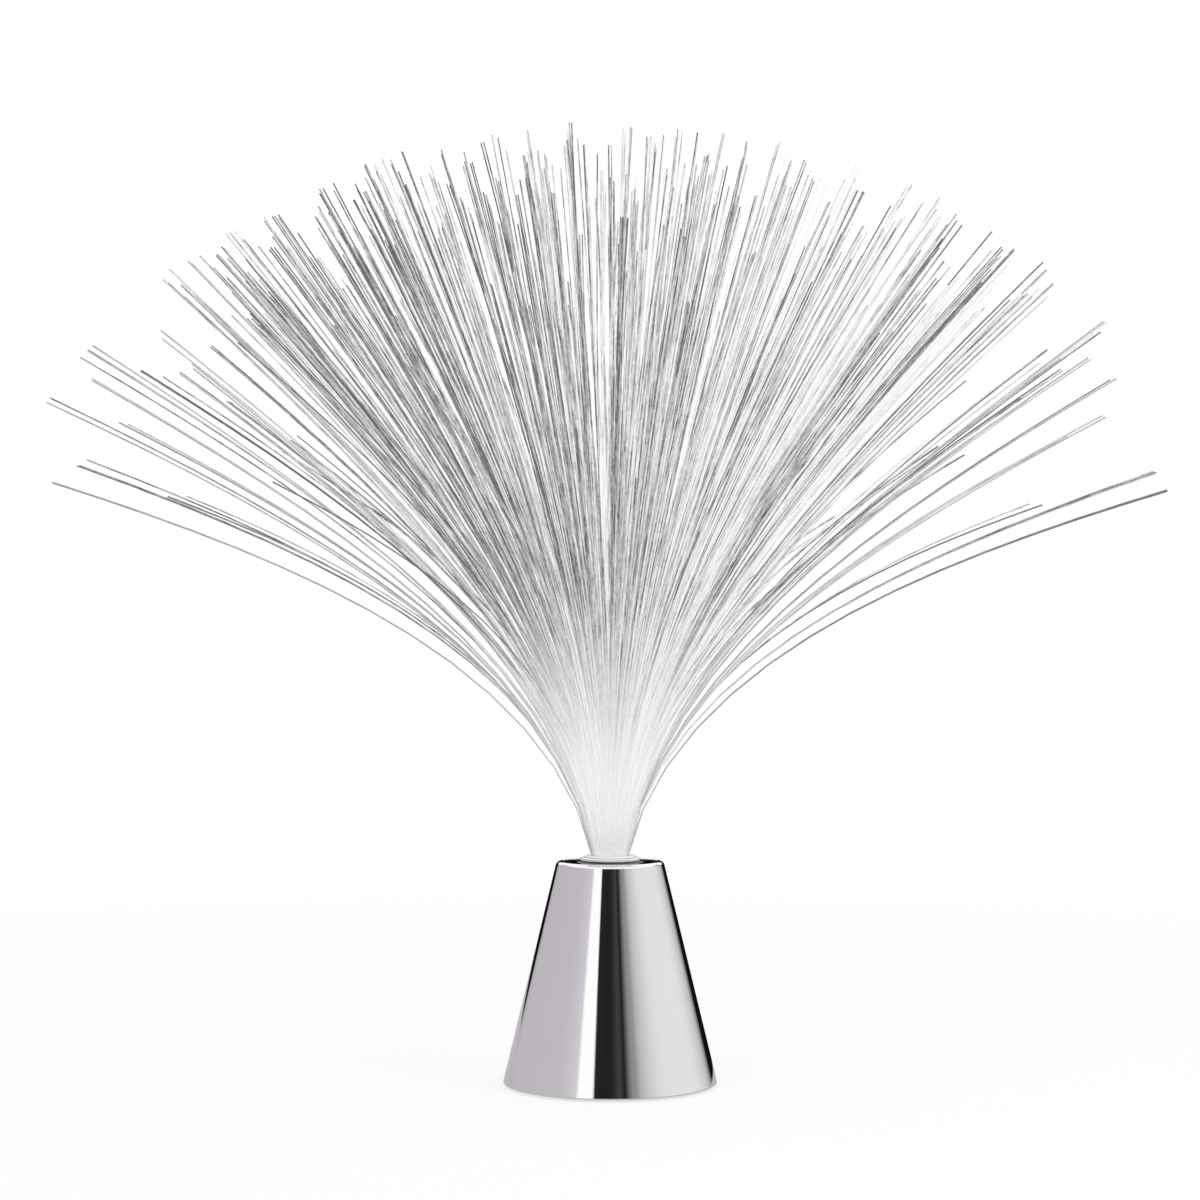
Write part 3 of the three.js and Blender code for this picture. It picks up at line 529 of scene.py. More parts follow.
def block(name: str, low: Triple, high: Triple, bevel: float, finish: Finish) -> Object:
    """Make a box with rounded edges.

    Args:
        name: The piece's name.
        low: Its lowest corner in millimetres.
        high: Its highest corner in millimetres.
        bevel: The radius of its edges, or 0.
        finish: Its finish.

    Returns:
        The box.
    """
    shape = bmesh.new()
    bmesh.ops.create_cube(shape, size=1.0)
    size, centre = Vector(high) - Vector(low), (Vector(high) + Vector(low)) / 2
    bmesh.ops.transform(shape, matrix=Matrix.Translation(centre) @ Matrix.Diagonal((*size, 1.0)),
                        verts=shape.verts)
    if bevel:
        bmesh.ops.bevel(shape, geom=shape.edges[:], offset=bevel, segments=3, profile=0.5, affect="EDGES")
    shape.verts.index_update()
    points = [tuple(v.co) for v in shape.verts]
    faces = [[v.index for v in face.verts] for face in shape.faces]
    shape.free()
    return mesh_object(name, points, faces, finish)


def placed(piece: Object, *, move: Triple = (0, 0, 0), turn_deg: float = 0.0, axis: Axis = Axis.Z) -> Object:
    """Turn and then move a piece's mesh.

    Args:
        piece: The piece, whose object stays at the origin.
        move: The way to move it, in millimetres.
        turn_deg: The angle to turn it by.
        axis: The axis to turn it about.

    Returns:
        The same piece.
    """
    turn = Matrix.Rotation(math.radians(turn_deg), 4, axis.value)
    piece.data.transform(Matrix.Translation(Vector(move) * MM) @ turn)
    return piece


def rod(radius: float, low: float, high: float, at: Pair, finish: Finish, sides: int = 32) -> Object:
    """Make a plain upright rod, to join to a piece or to cut from it."""
    outline = [(0.0, low), (radius, low), (radius, high), (0.0, high)]
    return placed(lathe("rod", outline, sides, finish), move=(*at, 0))


def axle(radius: float, half: float, y: float, z: float, sides: int = 32) -> Object:
    """Make a plain black rod that reaches as far to the left of the lamp's middle as to the right."""
    upright = rod(radius, -half, half, (0, 0), BLACK_ABS, sides)
    return placed(upright, turn_deg=90, axis=Axis.Y, move=(0, y, z))


def bake(piece: Object) -> Object:
    """Turn a piece's modifiers into plain mesh.

    Args:
        piece: The piece, changed in place.

    Returns:
        The same piece.
    """
    depsgraph = bpy.context.evaluated_depsgraph_get()
    mesh = bpy.data.meshes.new_from_object(
        piece.evaluated_get(depsgraph), preserve_all_data_layers=True, depsgraph=depsgraph)
    piece.modifiers.clear()
    piece.data = mesh
    return piece


def carved(piece: Object, carve: Carve, *shapes: Object) -> None:
    """Join shapes to a piece or cut them from it, and delete them.

    Args:
        piece: The piece, changed in place.
        carve: Which of the two is done.
        shapes: Closed shapes.
    """
    for shape in shapes:
        modifier = piece.modifiers.new("carve", "BOOLEAN")
        modifier.operation = carve.value
        modifier.object = shape
        modifier.solver = "EXACT"
        modifier.material_mode = "TRANSFER"
    bake(piece)
    for shape in shapes:
        bpy.data.objects.remove(shape)
    smoothed(piece.data)


def new_tree(name: str, sizes: Sizes) -> tuple[Tree, bpy.types.NodeOutputs]:
    """Start a Geometry Nodes tree.

    Args:
        name: The tree's name.
        sizes: The values that its named inputs are to have, which give their types.

    Returns:
        The tree and its inputs' sockets.
    """
    kinds = {int: "NodeSocketInt", float: "NodeSocketFloat", Vector: "NodeSocketVector"}
    tree = bpy.data.node_groups.new(name, "GeometryNodeTree")
    for label, value in sizes.items():
        tree.interface.new_socket(name=label, in_out="INPUT", socket_type=kinds[type(value)])
    tree.interface.new_socket(name="Geometry", in_out="OUTPUT", socket_type="NodeSocketGeometry")
    return tree, add(tree, "NodeGroupInput").outputs


def grown(name: str, tree: Tree, shape: Node, finish: Finish, sizes: Sizes) -> Object:
    """End a Geometry Nodes tree, run it and keep its result as plain mesh.

    Args:
        name: The piece's name.
        tree: The tree.
        shape: The node that gives its geometry.
        finish: Its finish.
        sizes: The values of its inputs, by name.

    Returns:
        The piece.
    """
    real = add(tree, "GeometryNodeRealizeInstances", [shape])
    dressed = add(tree, "GeometryNodeSetMaterial", {0: real, 2: finish.material()})
    add(tree, "NodeGroupOutput", [dressed])
    piece = linked(name, bpy.data.meshes.new(name))
    modifier = piece.modifiers.new(name, "NODES")
    modifier.node_group = tree
    for item in tree.interface.items_tree:
        if item.name in sizes:
            value = sizes[item.name]
            modifier[item.identifier] = tuple(value) if isinstance(value, Vector) else value
    return bake(piece)


def copies(name: str, shape: Object, finish: Finish, kind: str, sizes: Sizes,
           alternate: bool = False) -> Object:
    """Repeat a shape on the points of a grid or a line, as one mesh.

    Args:
        name: The piece's name.
        shape: The shape, which is deleted.
        finish: Its finish.
        kind: The node that gives the points.
        sizes: That node's inputs by name, in metres.
        alternate: True to turn every second copy end for end about the vertical.

    Returns:
        The piece.
    """
    tree, given = new_tree(f"{name}_tree", sizes)
    put = partial(add, tree)
    points = put(kind, {label: given[label] for label in sizes})
    model = put("GeometryNodeObjectInfo", {"Object": shape}).outputs["Geometry"]
    odd = put(Op.REST, [put("GeometryNodeInputIndex"), 2.0])
    angle = put(Op.TIMES, [odd, math.pi if alternate else 0.0])
    spread = put("GeometryNodeInstanceOnPoints", {
        "Points": points, "Instance": model, "Rotation": put(COMBINE, {"Z": angle})})
    piece = grown(name, tree, spread, finish, sizes)
    bpy.data.objects.remove(shape)
    return piece


def four_of(name: str, shape: Object, corner: Triple, finish: Finish) -> Object:
    """Set a shape, which is deleted, at the corners of a rectangle round the axis, of which one is given."""
    x, y, _ = corner
    return copies(name, shape, finish, "GeometryNodeMeshGrid", {
        "Size X": 2 * abs(x) * MM, "Size Y": 2 * abs(y) * MM, "Vertices X": 2, "Vertices Y": 2})


def row_of(name: str, shape: Object, count: int, first: Triple, step: Triple, finish: Finish,
           alternate: bool = False) -> Object:
    """Set a shape, which is deleted, in a straight row, each copy or each second one the same way round."""
    return copies(name, shape, finish, "GeometryNodeMeshLine", {
        "Count": count, "Start Location": Vector(first) * MM, "Offset": Vector(step) * MM}, alternate)


def finished(piece: Object, body: Body, slot: str, *nodes: str) -> None:
    """Put a finished piece on its body, in place of the nodes that it stands for.

    Args:
        piece: The piece.
        body: The body that it rides on.
        slot: A material slot's name, not used.
        nodes: The nodes that it replaces.
    """
    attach(piece, body.value)
    if nodes:
        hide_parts(*nodes)
    LOG.info("%s: %d faces on %s, for %s", piece.name, len(piece.data.polygons), body.value,
             ", ".join(nodes) or "no node")


def dress(finish: Finish, *nodes: str) -> None:
    """Give nodes that stay as they are their finish.

    Args:
        finish: The finish.
        nodes: The nodes' names.
    """
    for name in nodes:
        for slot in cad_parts[name].material_slots:
            slot.material = finish.material()
        LOG.info("%s keeps its shape, in %s", name, finish.name)


def numbered(stem: str, count: int) -> list[str]:
    """Name the nodes that differ only in their number, which counts from 1."""
    return [f"{stem}_{number}" for number in range(1, count + 1)]


def span(node: str) -> tuple[Vector, Vector]:
    """Give a node's lowest and highest corners in millimetres."""
    low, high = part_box(node)
    return low / MM, high / MM


def middle(node: str) -> Triple:
    """Give the middle of a node's box in millimetres."""
    return tuple((low + high) / 2 for low, high in zip(*span(node)))


# The lamp's sub-assemblies


@dataclass
class PlatedCone:
    """The plated cone, with the ribbed screw bosses inside it."""

    wall: float = 1.8
    rim_radius: float = 18.5
    rim_fillet: float = 1.7
    foot_fillet: float = 0.4
    inner_fillet: float = 0.3
    boss_radius: float = 3.0
    boss_height: float = 9.0
    plate_thickness: float = 2.4
    boss_lift: float = 0.1
    pilot_radius: float = 1.5
    rib_thickness: float = 1.6
    rib_reach: float = 34.0
    fillet_steps: int = 8
    sides: int = 192

    def build(self) -> None:
        """Turn the cone and join its bosses to it."""
        low, high = span("cone_shell")
        cone = lathe("plated_cone", rounded([
            (high.x - self.wall, low.z, self.inner_fillet), (high.x, low.z, self.foot_fillet),
            (self.rim_radius, high.z, self.rim_fillet),
            (self.rim_radius - self.wall, high.z, self.inner_fillet),
        ], self.fillet_steps), self.sides, CHROME)
        x, y, _ = middle("base_screw_1")
        seat = low.z + self.plate_thickness + self.boss_lift
        top = seat + self.boss_height
        half_rib = self.rib_thickness / 2
        posts, pilots = [], []
        for place in ((x, y), (x, -y), (-x, y), (-x, -y)):
            rib = block("rib", (math.hypot(x, y), -half_rib, seat), (self.rib_reach, half_rib, top), 0,
                        CHROME)
            placed(rib, turn_deg=math.degrees(math.atan2(place[1], place[0])))
            posts += [rod(self.boss_radius, seat, top, place, CHROME), rib]
            pilots.append(rod(self.pilot_radius, seat - SPARE, top + SPARE, place, CHROME))
        carved(cone, Carve.JOIN, *posts)
        carved(cone, Carve.CUT, *pilots)
        finished(cone, Body.BASE, "chrome_plate", "cone_shell")


@dataclass
class BasePlate:
    """The moulded base plate with the battery tray on top of it, its rubber feet and its screws."""

    thickness: float = 2.4
    edge: float = 0.3
    sides: int = 160
    tray_half: Pair = (17.55, 25.3)
    tray_wall: float = 1.0
    door_ledge: float = 0.6
    hinge_inset: float = 1.0
    hinge_bore: float = 0.85
    hinge_play: float = 0.15
    bead_groove: float = 0.5
    bead_groove_half: float = 6.3
    switch_slot_half: Pair = (1.4, 3.9)
    switch_post: float = 1.9
    switch_post_gap: float = 0.1
    switch_bore: float = 1.1
    switch_bore_floor: float = 1.2
    rib_half: Pair = (0.5, 21.3)
    rib_depth: float = 2.9
    rib_sink: float = 0.5
    cell_gap: float = 0.2
    lug_slot_half: Pair = (1.5, 0.5)
    recess_gap: float = 0.3
    recess_sides: int = 48
    head_recess: float = 1.4
    foot_recess: float = 0.8
    foot_radius: float = 3.0
    sole: tuple[Triple, ...] = (
        (0.0, 0.25, 0), (1.0, 0.25, 0.1), (1.35, 0.0, 0.1), (1.9, 0.0, 0.08), (2.0, 0.12, 0.04),
        (2.2, 0.12, 0.04), (2.3, 0.0, 0.08),
    )
    head_height: float = 1.3
    head_radius: float = 2.6
    head_dome: float = 0.25
    shank_radius: float = 1.2
    slot_width: float = 0.7
    slot_depth: float = 0.6
    slot_reach: float = 4.0
    slot_turn_deg: float = 25.0
    thread_pitch: float = 0.9
    thread_crest_share: float = 0.35
    thread_foot_share: float = 0.7
    thread_depth: float = 0.25
    thread_run_in: float = 0.4
    thread_run_out: float = 1.2
    point_length: float = 0.8
    small_steps: int = 4
    small_sides: int = 32

    def __post_init__(self) -> None:
        """Take the plate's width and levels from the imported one."""
        low, high = span("base_plate")
        self.radius, self.floor, self.roof = high.x, low.z, high.z
        self.top, self.ceiling = self.floor + self.thickness, self.roof - self.tray_wall

    def build(self) -> None:
        """Build the plate, its feet and its screws."""
        self.plate()
        self.feet()
        self.screws()

    def plate(self) -> None:
        """Mould the plate and the tray, and cut the doorway, the recesses and the slots."""
        plate = lathe("base_plate_moulding", rounded([
            (0.0, self.floor, 0), (self.radius, self.floor, self.edge), (self.radius, self.top, self.edge),
            (0.0, self.top, 0),
        ]), self.sides, BLACK_ABS)
        carved(plate, Carve.JOIN,
               self.bay("tray", 0.0, self.floor + self.thickness / 2, self.roof, self.edge))
        carved(plate, Carve.CUT, self.bay("room", self.tray_wall, self.floor - SPARE, self.ceiling),
               self.bay("doorway", self.door_ledge, self.floor - SPARE, self.top))
        posts, bores = self.switch_seat()
        ribs, lug_slots = self.cell_ribs()
        carved(plate, Carve.JOIN, *posts, *ribs)
        carved(plate, Carve.CUT, *self.bearings(), *bores, *self.recesses(), *lug_slots)
        finished(plate, Body.BASE, "black_plastic", "base_plate")

    def bay(self, name: str, inset: float, low: float, high: float, bevel: float = 0.0) -> Object:
        """Make a block as wide and long as the tray, or drawn in by an inset."""
        x, y = (half - inset for half in self.tray_half)
        return block(name, (-x, -y, low), (x, y, high), bevel, BLACK_ABS)

    def bearings(self) -> list[Object]:
        """Make what is cut for the door: the bore of its hinge and the groove that its bead snaps into.

        Returns:
            The two cutting shapes.
        """
        low, high = span("battery_door")
        level = (low.z + high.z) / 2
        return [
            axle(self.hinge_bore, high.x + self.hinge_play, low.y + self.hinge_inset, level),
            axle(self.bead_groove, self.bead_groove_half, self.tray_half[1] - self.door_ledge, level),
        ]

    def switch_seat(self) -> tuple[list[Object], list[Object]]:
        """Make the posts that the switch is screwed to, their bores, and the slot that its knob slides in.

        Returns:
            The shapes to join and the shapes to cut.
        """
        x, y = middle("switch_body")[0], middle("switch_screw_1")[1]
        half_x, half_y = self.switch_slot_half
        slot = block("slot", (x - half_x, -half_y, self.floor - SPARE),
                     (x + half_x, half_y, self.top + SPARE), self.edge, BLACK_ABS)
        foot, bore_floor = self.floor + self.thickness / 2, self.floor + self.switch_bore_floor
        seat = span("switch_body")[0].z - self.switch_post_gap
        posts, cuts = [], [slot]
        for place in ((x, -y), (x, y)):
            posts.append(rod(self.switch_post, foot, seat, place, BLACK_ABS))
            cuts.append(rod(self.switch_bore, bore_floor, seat + SPARE, place, BLACK_ABS))
        return posts, cuts

    def recesses(self) -> list[Object]:
        """Make what is cut for the screws and the feet.

        Returns:
            The cutting shapes.
        """
        low, cuts = self.floor - SPARE, []
        for stem, holes in (
            ("base_screw", ((self.head_radius, self.floor + self.head_recess, self.recess_sides),
                            (self.shank_radius, self.top + SPARE, self.small_sides))),
            ("rubber_foot", ((self.foot_radius, self.floor + self.foot_recess, self.recess_sides),)),
        ):
            for name in numbered(stem, 4):
                cuts += [rod(radius + self.recess_gap, low, high, middle(name)[:2], BLACK_ABS, sides)
                         for radius, high, sides in holes]
        return cuts

    def cell_ribs(self) -> tuple[list[Object], list[Object]]:
        """Make the ribs that hold the cells apart, and the slots that the contacts' lugs come out of.

        Returns:
            The shapes to join and the shapes to cut.
        """
        half_x, half_y = self.rib_half
        slot_x, slot_y = self.lug_slot_half
        lug_x, lug_y, _ = middle("positive_terminal")
        ribs, slots = [], []
        for side in (-1, 1):
            x = side * (span("dry_cell_2")[1].x + self.cell_gap)
            ribs.append(block("rib", (x - half_x, -half_y, self.ceiling - self.rib_depth),
                              (x + half_x, half_y, self.ceiling + self.rib_sink), 0, BLACK_ABS))
            x, y = side * lug_x, side * lug_y
            slots.append(block("lug_slot", (x - slot_x, y - slot_y, self.ceiling - self.rib_sink),
                               (x + slot_x, y + slot_y, self.roof + SPARE), 0, BLACK_ABS))
        return ribs, slots

    def feet(self) -> None:
        """Mould one foot, with a ring and a dimple in its sole, and set four in their recesses."""
        low, high = span("rubber_foot_1")
        radius = (high.x - low.x) / 2
        foot = lathe("foot", rounded([
            *self.sole, (radius, 0.0, 0.4), (radius, high.z, 0.15), (0.0, high.z, 0),
        ], self.small_steps), self.small_sides, RUBBER)
        feet = four_of("rubber_feet", foot, middle("rubber_foot_1"), RUBBER)
        finished(feet, Body.BASE, "rubber", *numbered("rubber_foot", 4))

    def screws(self) -> None:
        """Turn one slotted pan head screw with its thread, and drive four into the bosses."""
        low, high = span("base_screw_1")
        seat = low.z + self.head_height
        core = self.shank_radius - self.thread_depth
        thread, level = [], seat + self.thread_run_in
        while level < high.z - self.thread_run_out:
            thread += [(core, level, 0),
                       (self.shank_radius, level + self.thread_pitch * self.thread_crest_share, 0),
                       (core, level + self.thread_pitch * self.thread_foot_share, 0)]
            level += self.thread_pitch
        screw = lathe("screw", rounded([
            (0.0, low.z, 0), (self.head_radius, low.z + self.head_dome, 0.45), (self.head_radius, seat, 0.1),
            (core, seat, 0), *thread, (core, high.z - self.point_length, 0), (0.1, high.z, 0),
            (0.0, high.z, 0),
        ], self.small_steps), self.small_sides, ZINC_STEEL)
        half, reach = self.slot_width / 2, self.slot_reach
        slot = block("slot", (-reach, -half, low.z - SPARE), (reach, half, low.z + self.slot_depth), 0,
                     ZINC_STEEL)
        carved(screw, Carve.CUT, placed(slot, turn_deg=self.slot_turn_deg))
        screws = four_of("base_screws", screw, middle("base_screw_1"), ZINC_STEEL)
        finished(screws, Body.BASE, "zinc_steel", *numbered("base_screw", 4))


@dataclass
class BatteryDoor:
    """The battery door: a leaf with a round hinge edge, two trunnions, a snap bead and finger grips."""

    edge: float = 0.25
    knuckle_share: float = 0.995
    knuckle_sides: int = 48
    trunnion_radius: float = 0.7
    trunnion_length: float = 1.1
    bead_radius: float = 0.5
    bead_length: float = 12.0
    bead_proud: float = 0.15
    grip_size: Triple = (10.0, 0.8, 0.5)
    grip_edge: float = 0.2
    grip_pitch: float = 1.8
    grip_count: int = 4
    grip_inset: float = 3.0

    def build(self) -> None:
        """Mould the leaf and cut its grips."""
        low, high = span("battery_door")
        radius = (high.z - low.z) / 2
        hinge_y, level = low.y + radius, (low.z + high.z) / 2
        half = high.x - self.trunnion_length
        far_edge = high.y - self.bead_proud
        leaf = block("battery_door_leaf", (-half, hinge_y, low.z), (half, far_edge, high.z), self.edge,
                     BLACK_ABS)
        carved(leaf, Carve.JOIN,
               axle(radius * self.knuckle_share, half, hinge_y, level, self.knuckle_sides),
               axle(self.trunnion_radius, high.x, hinge_y, level),
               axle(self.bead_radius, self.bead_length / 2, high.y - self.bead_radius, level))
        width, length, depth = self.grip_size
        bar = block("bar", (-width / 2, -length / 2, low.z - SPARE), (width / 2, length / 2, low.z + depth),
                    self.grip_edge, BLACK_ABS)
        carved(leaf, Carve.CUT, row_of("grips", bar, self.grip_count, (0, far_edge - self.grip_inset, 0),
                                       (0, -self.grip_pitch, 0), BLACK_ABS))
        finished(leaf, Body.DOOR, "black_plastic", "battery_door")


@dataclass
class PowerSwitch:
    """The slide switch: its knob is moulded here, and its body and screws keep their CAD shapes."""

    edge: float = 0.2
    knob_half: Pair = (1.1, 1.6)
    knob_sink: float = 0.9
    carriage_height: float = 1.8
    groove_depth: float = 0.3
    groove_width: float = 0.35
    groove_pitch: float = 0.75
    groove_count: int = 4

    def build(self) -> None:
        """Mould the knob with its grip ridges and its carriage."""
        low, high = span("switch_slider")
        x, y, _ = middle("switch_slider")
        half_x, half_y = self.knob_half
        carriage = block("switch_knob", (low.x, low.y, high.z - self.carriage_height), tuple(high), self.edge,
                         BLACK_ABS)
        knob = block("knob", (x - half_x, y - half_y, low.z),
                     (x + half_x, y + half_y, high.z - self.knob_sink), self.edge, BLACK_ABS)
        carved(carriage, Carve.JOIN, knob)
        reach, half = half_x + SPARE, self.groove_width / 2
        bar = block("bar", (x - reach, -half, low.z - SPARE), (x + reach, half, low.z + self.groove_depth), 0,
                    BLACK_ABS)
        first = y - self.groove_pitch * (self.groove_count - 1) / 2
        carved(carriage, Carve.CUT,
               row_of("grooves", bar, self.groove_count, (0, first, 0), (0, self.groove_pitch, 0), BLACK_ABS))
        finished(carriage, Body.SLIDER, "black_plastic", "switch_slider")
        dress(NICKEL_STEEL, "switch_body")
        dress(ZINC_STEEL, *numbered("switch_screw", 2))


@dataclass
class BatteryPack:
    """Three cells side by side, each turned end for end against the next, and their contacts."""

    radius: float = 5.25
    nub_radius: float = 1.9
    nub_length: float = 0.8
    shoulder_depth: float = 0.2
    can_edge: float = 0.5
    film: float = 0.12
    film_edge: float = 0.55
    film_lip: float = 0.7
    film_inset: float = 0.02
    end_disc: tuple[Triple, ...] = ((0.0, 0.15, 0), (3.0, 0.15, 0.1), (3.3, 0.0, 0.1))
    steps: int = 4
    sides: int = 64

    def build(self) -> None:
        """Build the steel cans and the film round them."""
        low, high = span("dry_cell_1")
        length = high.y - low.y
        can_end = length - self.nub_length
        shoulder = can_end - self.shoulder_depth
        bare, lip = self.radius - self.film, self.radius - self.film_lip
        near, far = self.film_inset, can_end - self.film_inset
        can = lathe("can", rounded([
            *self.end_disc, (bare, 0.0, self.can_edge), (bare, can_end, self.can_edge), (3.2, can_end, 0.1),
            (3.0, shoulder, 0.1), (self.nub_radius, shoulder, 0.1), (self.nub_radius, length, 0.3),
            (0.0, length, 0),
        ], self.steps), self.sides, CELL_STEEL)
        film = lathe("film", rounded([
            (lip, near, 0), (self.radius, near, self.film_edge), (self.radius, far, self.film_edge),
            (lip, far, 0), (lip, can_end - 0.1, 0), (bare, can_end - 0.1, self.can_edge),
            (bare, 0.1, self.can_edge), (lip, 0.1, 0),
        ], self.steps), self.sides, CELL_FILM)
        first = Vector(middle("dry_cell_1"))
        first.y = (low.y + span("dry_cell_2")[1].y) / 2
        pitch = middle("dry_cell_2")[0] - first.x
        for name, shape, finish, slot, nodes in (
            ("cell_films", film, CELL_FILM, "cell_sleeve", numbered("dry_cell", 3)),
            ("cell_cans", can, CELL_STEEL, "zinc_steel", []),
        ):
            placed(shape, turn_deg=-90, axis=Axis.X, move=(0, low.y - first.y, 0))
            row = row_of(name, shape, 3, tuple(first), (pitch, 0, 0), finish, alternate=True)
            finished(row, Body.BASE, slot, *nodes)
        dress(NICKEL_STEEL, "positive_terminal", "negative_terminal", *numbered("link_contact", 2))


@dataclass
class LedBoard:
    """The board with its LEDs, chip, resistors, screws and leads, which keep their CAD shapes."""

    def build(self) -> None:
        """Dress each node of the board and the leads."""
        for finish, nodes in (
            (LAMINATE, ["led_board"]), (RED_LENS, ["led_red"]), (GREEN_LENS, ["led_green"]),
            (BLUE_LENS, ["led_blue"]), (EPOXY, ["driver_chip"]), (CERAMIC, numbered("led_resistor", 3)),
            (ZINC_STEEL, numbered("board_screw", 2)),
            (RED_PVC, ["lead_cells_to_switch", "lead_switch_to_board"]), (BLACK_PVC, ["lead_cells_to_board"]),
        ):
            dress(finish, *nodes)


@dataclass
class NeckFitting:
    """The black disc with its socket tube, the clear collar, and the ferrule round the potted bundle."""

    bore: float = 9.3
    tube_radius: float = 10.9
    tube_lift: float = 0.5
    ring_radius: float = 11.7
    ring_slope: float = 0.2
    ring_height: float = 0.3
    disc_thickness: float = 2.9
    disc_slope: float = 0.2426
    lug_radius: float = 2.2
    lug_height: float = 8.0
    lug_ring: float = 12.6
    lug_bore: float = 1.1
    lug_bore_depth: float = 3.6
    sleeve_radius: float = 9.0
    sleeve_gap: float = 0.3
    flange_thickness: float = 1.0
    ferrule_radius: float = 7.8
    ferrule_gap: float = 0.6
    lip_thickness: float = 0.6
    edge: float = 0.2
    fine_edge: float = 0.15
    sides: int = 128

    def build(self) -> None:
        """Build the neck from the disc in to the bundle."""
        self.socket()
        self.collar()
        self.bundle()

    def socket(self) -> None:
        """Turn the disc with its raised ring and tube, and join the board's lugs."""
        low, high = span("neck_socket")
        top = high.z - self.ring_height
        bottom = top - self.disc_thickness
        foot = low.z + self.tube_lift
        socket = lathe("neck_disc", rounded([
            (self.bore, foot, self.edge), (self.tube_radius, foot, self.edge),
            (self.tube_radius, bottom, 0.3), (high.x, bottom, self.edge),
            (high.x - self.disc_slope * self.disc_thickness, top, self.edge), (self.ring_radius, top, 0.25),
            (self.ring_radius - self.ring_slope, high.z, self.edge), (self.bore, high.z, self.edge),
        ]), self.sides, POLISHED_ABS)
        places = ((0, -self.lug_ring), (0, self.lug_ring))
        carved(socket, Carve.JOIN, *(
            rod(self.lug_radius, low.z, low.z + self.lug_height, place, POLISHED_ABS) for place in places))
        carved(socket, Carve.CUT, *(
            rod(self.lug_bore, low.z - SPARE, low.z + self.lug_bore_depth, place, POLISHED_ABS)
            for place in places))
        finished(socket, Body.BASE, "black_plastic", "neck_socket")

    def collar(self) -> None:
        """Turn the clear flanged collar."""
        low, high = span("neck_collar")
        inside, flange = self.ferrule_radius + self.sleeve_gap, high.z - self.flange_thickness
        collar = lathe("clear_collar", rounded([
            (inside, low.z, self.fine_edge), (self.sleeve_radius, low.z, self.fine_edge),
            (self.sleeve_radius, flange, self.edge), (high.x, flange, self.fine_edge), (high.x, high.z, 0.35),
            (inside, high.z, self.edge),
        ]), self.sides, CLEAR_ACRYLIC)
        finished(collar, Body.COLLAR, "clear_plastic", "neck_collar")

    def bundle(self) -> None:
        """Turn the clear ferrule and the potted bundle inside it."""
        low, high = span("bundle_ferrule")
        core_low, core_high = span("fibre_bundle")
        inside, lip = core_high.x + self.ferrule_gap, high.z - self.lip_thickness
        ferrule = lathe("clear_ferrule", rounded([
            (inside, low.z, self.fine_edge), (self.ferrule_radius, low.z, self.fine_edge),
            (self.ferrule_radius, lip, 0.1), (high.x, lip, 0.12), (high.x, high.z, self.edge),
            (inside, high.z, self.edge),
        ]), self.sides, CLEAR_ACRYLIC)
        finished(ferrule, Body.SPRAY, "clear_plastic", "bundle_ferrule")
        core = lathe("potted_bundle", rounded([
            (0.0, core_low.z, 0), (core_high.x, core_low.z, self.edge), (core_high.x, core_high.z, 0.4),
            (0.0, core_high.z, 0),
        ]), self.sides, POTTED_FIBRE)
        finished(core, Body.SPRAY, "clear_fibre", "fibre_bundle")


@dataclass
class FibreSpray:
    """The spray of drawn fibres, which bend outwards under their own weight.

    The fibres' roots stand on rings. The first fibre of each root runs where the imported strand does, and the
    others of that root stay near it, as the fibres of one bunch do.
    """

    rings: int = 10
    fibres_per_root: int = 3
    radius: float = 0.24
    bundle_radius: float = 6.4
    length: float = 250.0
    shortest_share: float = 0.9
    long_bias: float = 3.0
    twin_shortening: float = 0.08
    twin_lean_deg: float = 2.6
    twin_closeness: float = 3.0
    twin_set_back: float = 0.6
    bend_length: float = 80.0
    root_lean_share: float = 0.15
    core_lean_deg: float = 54.0
    stray_lean_deg: float = 22.0
    stray_shares: tuple[float, ...] = (1.0, 0.22, 0.6, 0.1, 0.38)
    stray_length_share: float = 0.945
    wobble_deg: float = 0.9
    late_power: float = 1.5
    clump_shift: float = 2.0
    clumps_per_radian: float = 9.0
    parting_shift: float = 4.5
    partings_per_radian: float = 5.5
    parting_levels: Pair = (3.7, 9.1)
    plain_tone: float = 0.68
    tone_spread: float = 0.85
    # Painted shade on the fibres that lean a little to the left, as if the light fell from the right.
    left_painted_shade: float = 0.42
    left_painted_shade_band: tuple[Pair, Pair] = ((-1.0, -0.65), (-0.7, 0.5))
    # Painted shade on the strays, for the darker surroundings that they refract.
    stray_painted_shade: float = 0.25
    right_spread: float = 0.6
    right_band: Pair = (0.15, 0.55)
    edge_from: float = 0.75
    edge_close_share: float = 0.9
    edge_even_share: float = 0.6
    lanes: float = 400.0
    root_sink: float = 0.3
    stations: int = 15
    sides: int = 4
    seed: int = 7

    def build(self) -> None:
        """Grow the spray in place of its three packed sectors."""
        roots = 3 * self.rings * (self.rings + 1)
        root_level = span("bundle_ferrule")[1].z - self.root_sink
        sizes = {
            "Fibres": roots * self.fibres_per_root, "Roots": roots, "Bundle Radius": self.bundle_radius * MM,
            "Fibre Radius": self.radius * MM, "Length": self.length * MM, "Root Level": root_level * MM,
            "Core Lean": math.radians(self.core_lean_deg), "Stray Lean": math.radians(self.stray_lean_deg),
            "Bend Length": self.bend_length * MM, "Clump Shift": self.clump_shift * MM,
            "Parting Shift": self.parting_shift * MM, "Seed": self.seed,
        }
        growth = FibreGrowth(self, sizes)
        spray = grown("fibre_spray", growth.tree, growth.fibres(), DRAWN_FIBRE, sizes)
        spray.visible_shadow = False
        spray.visible_diffuse = False
        finished(spray, Body.SPRAY, "clear_fibre", *numbered("fibre_spray", 3))


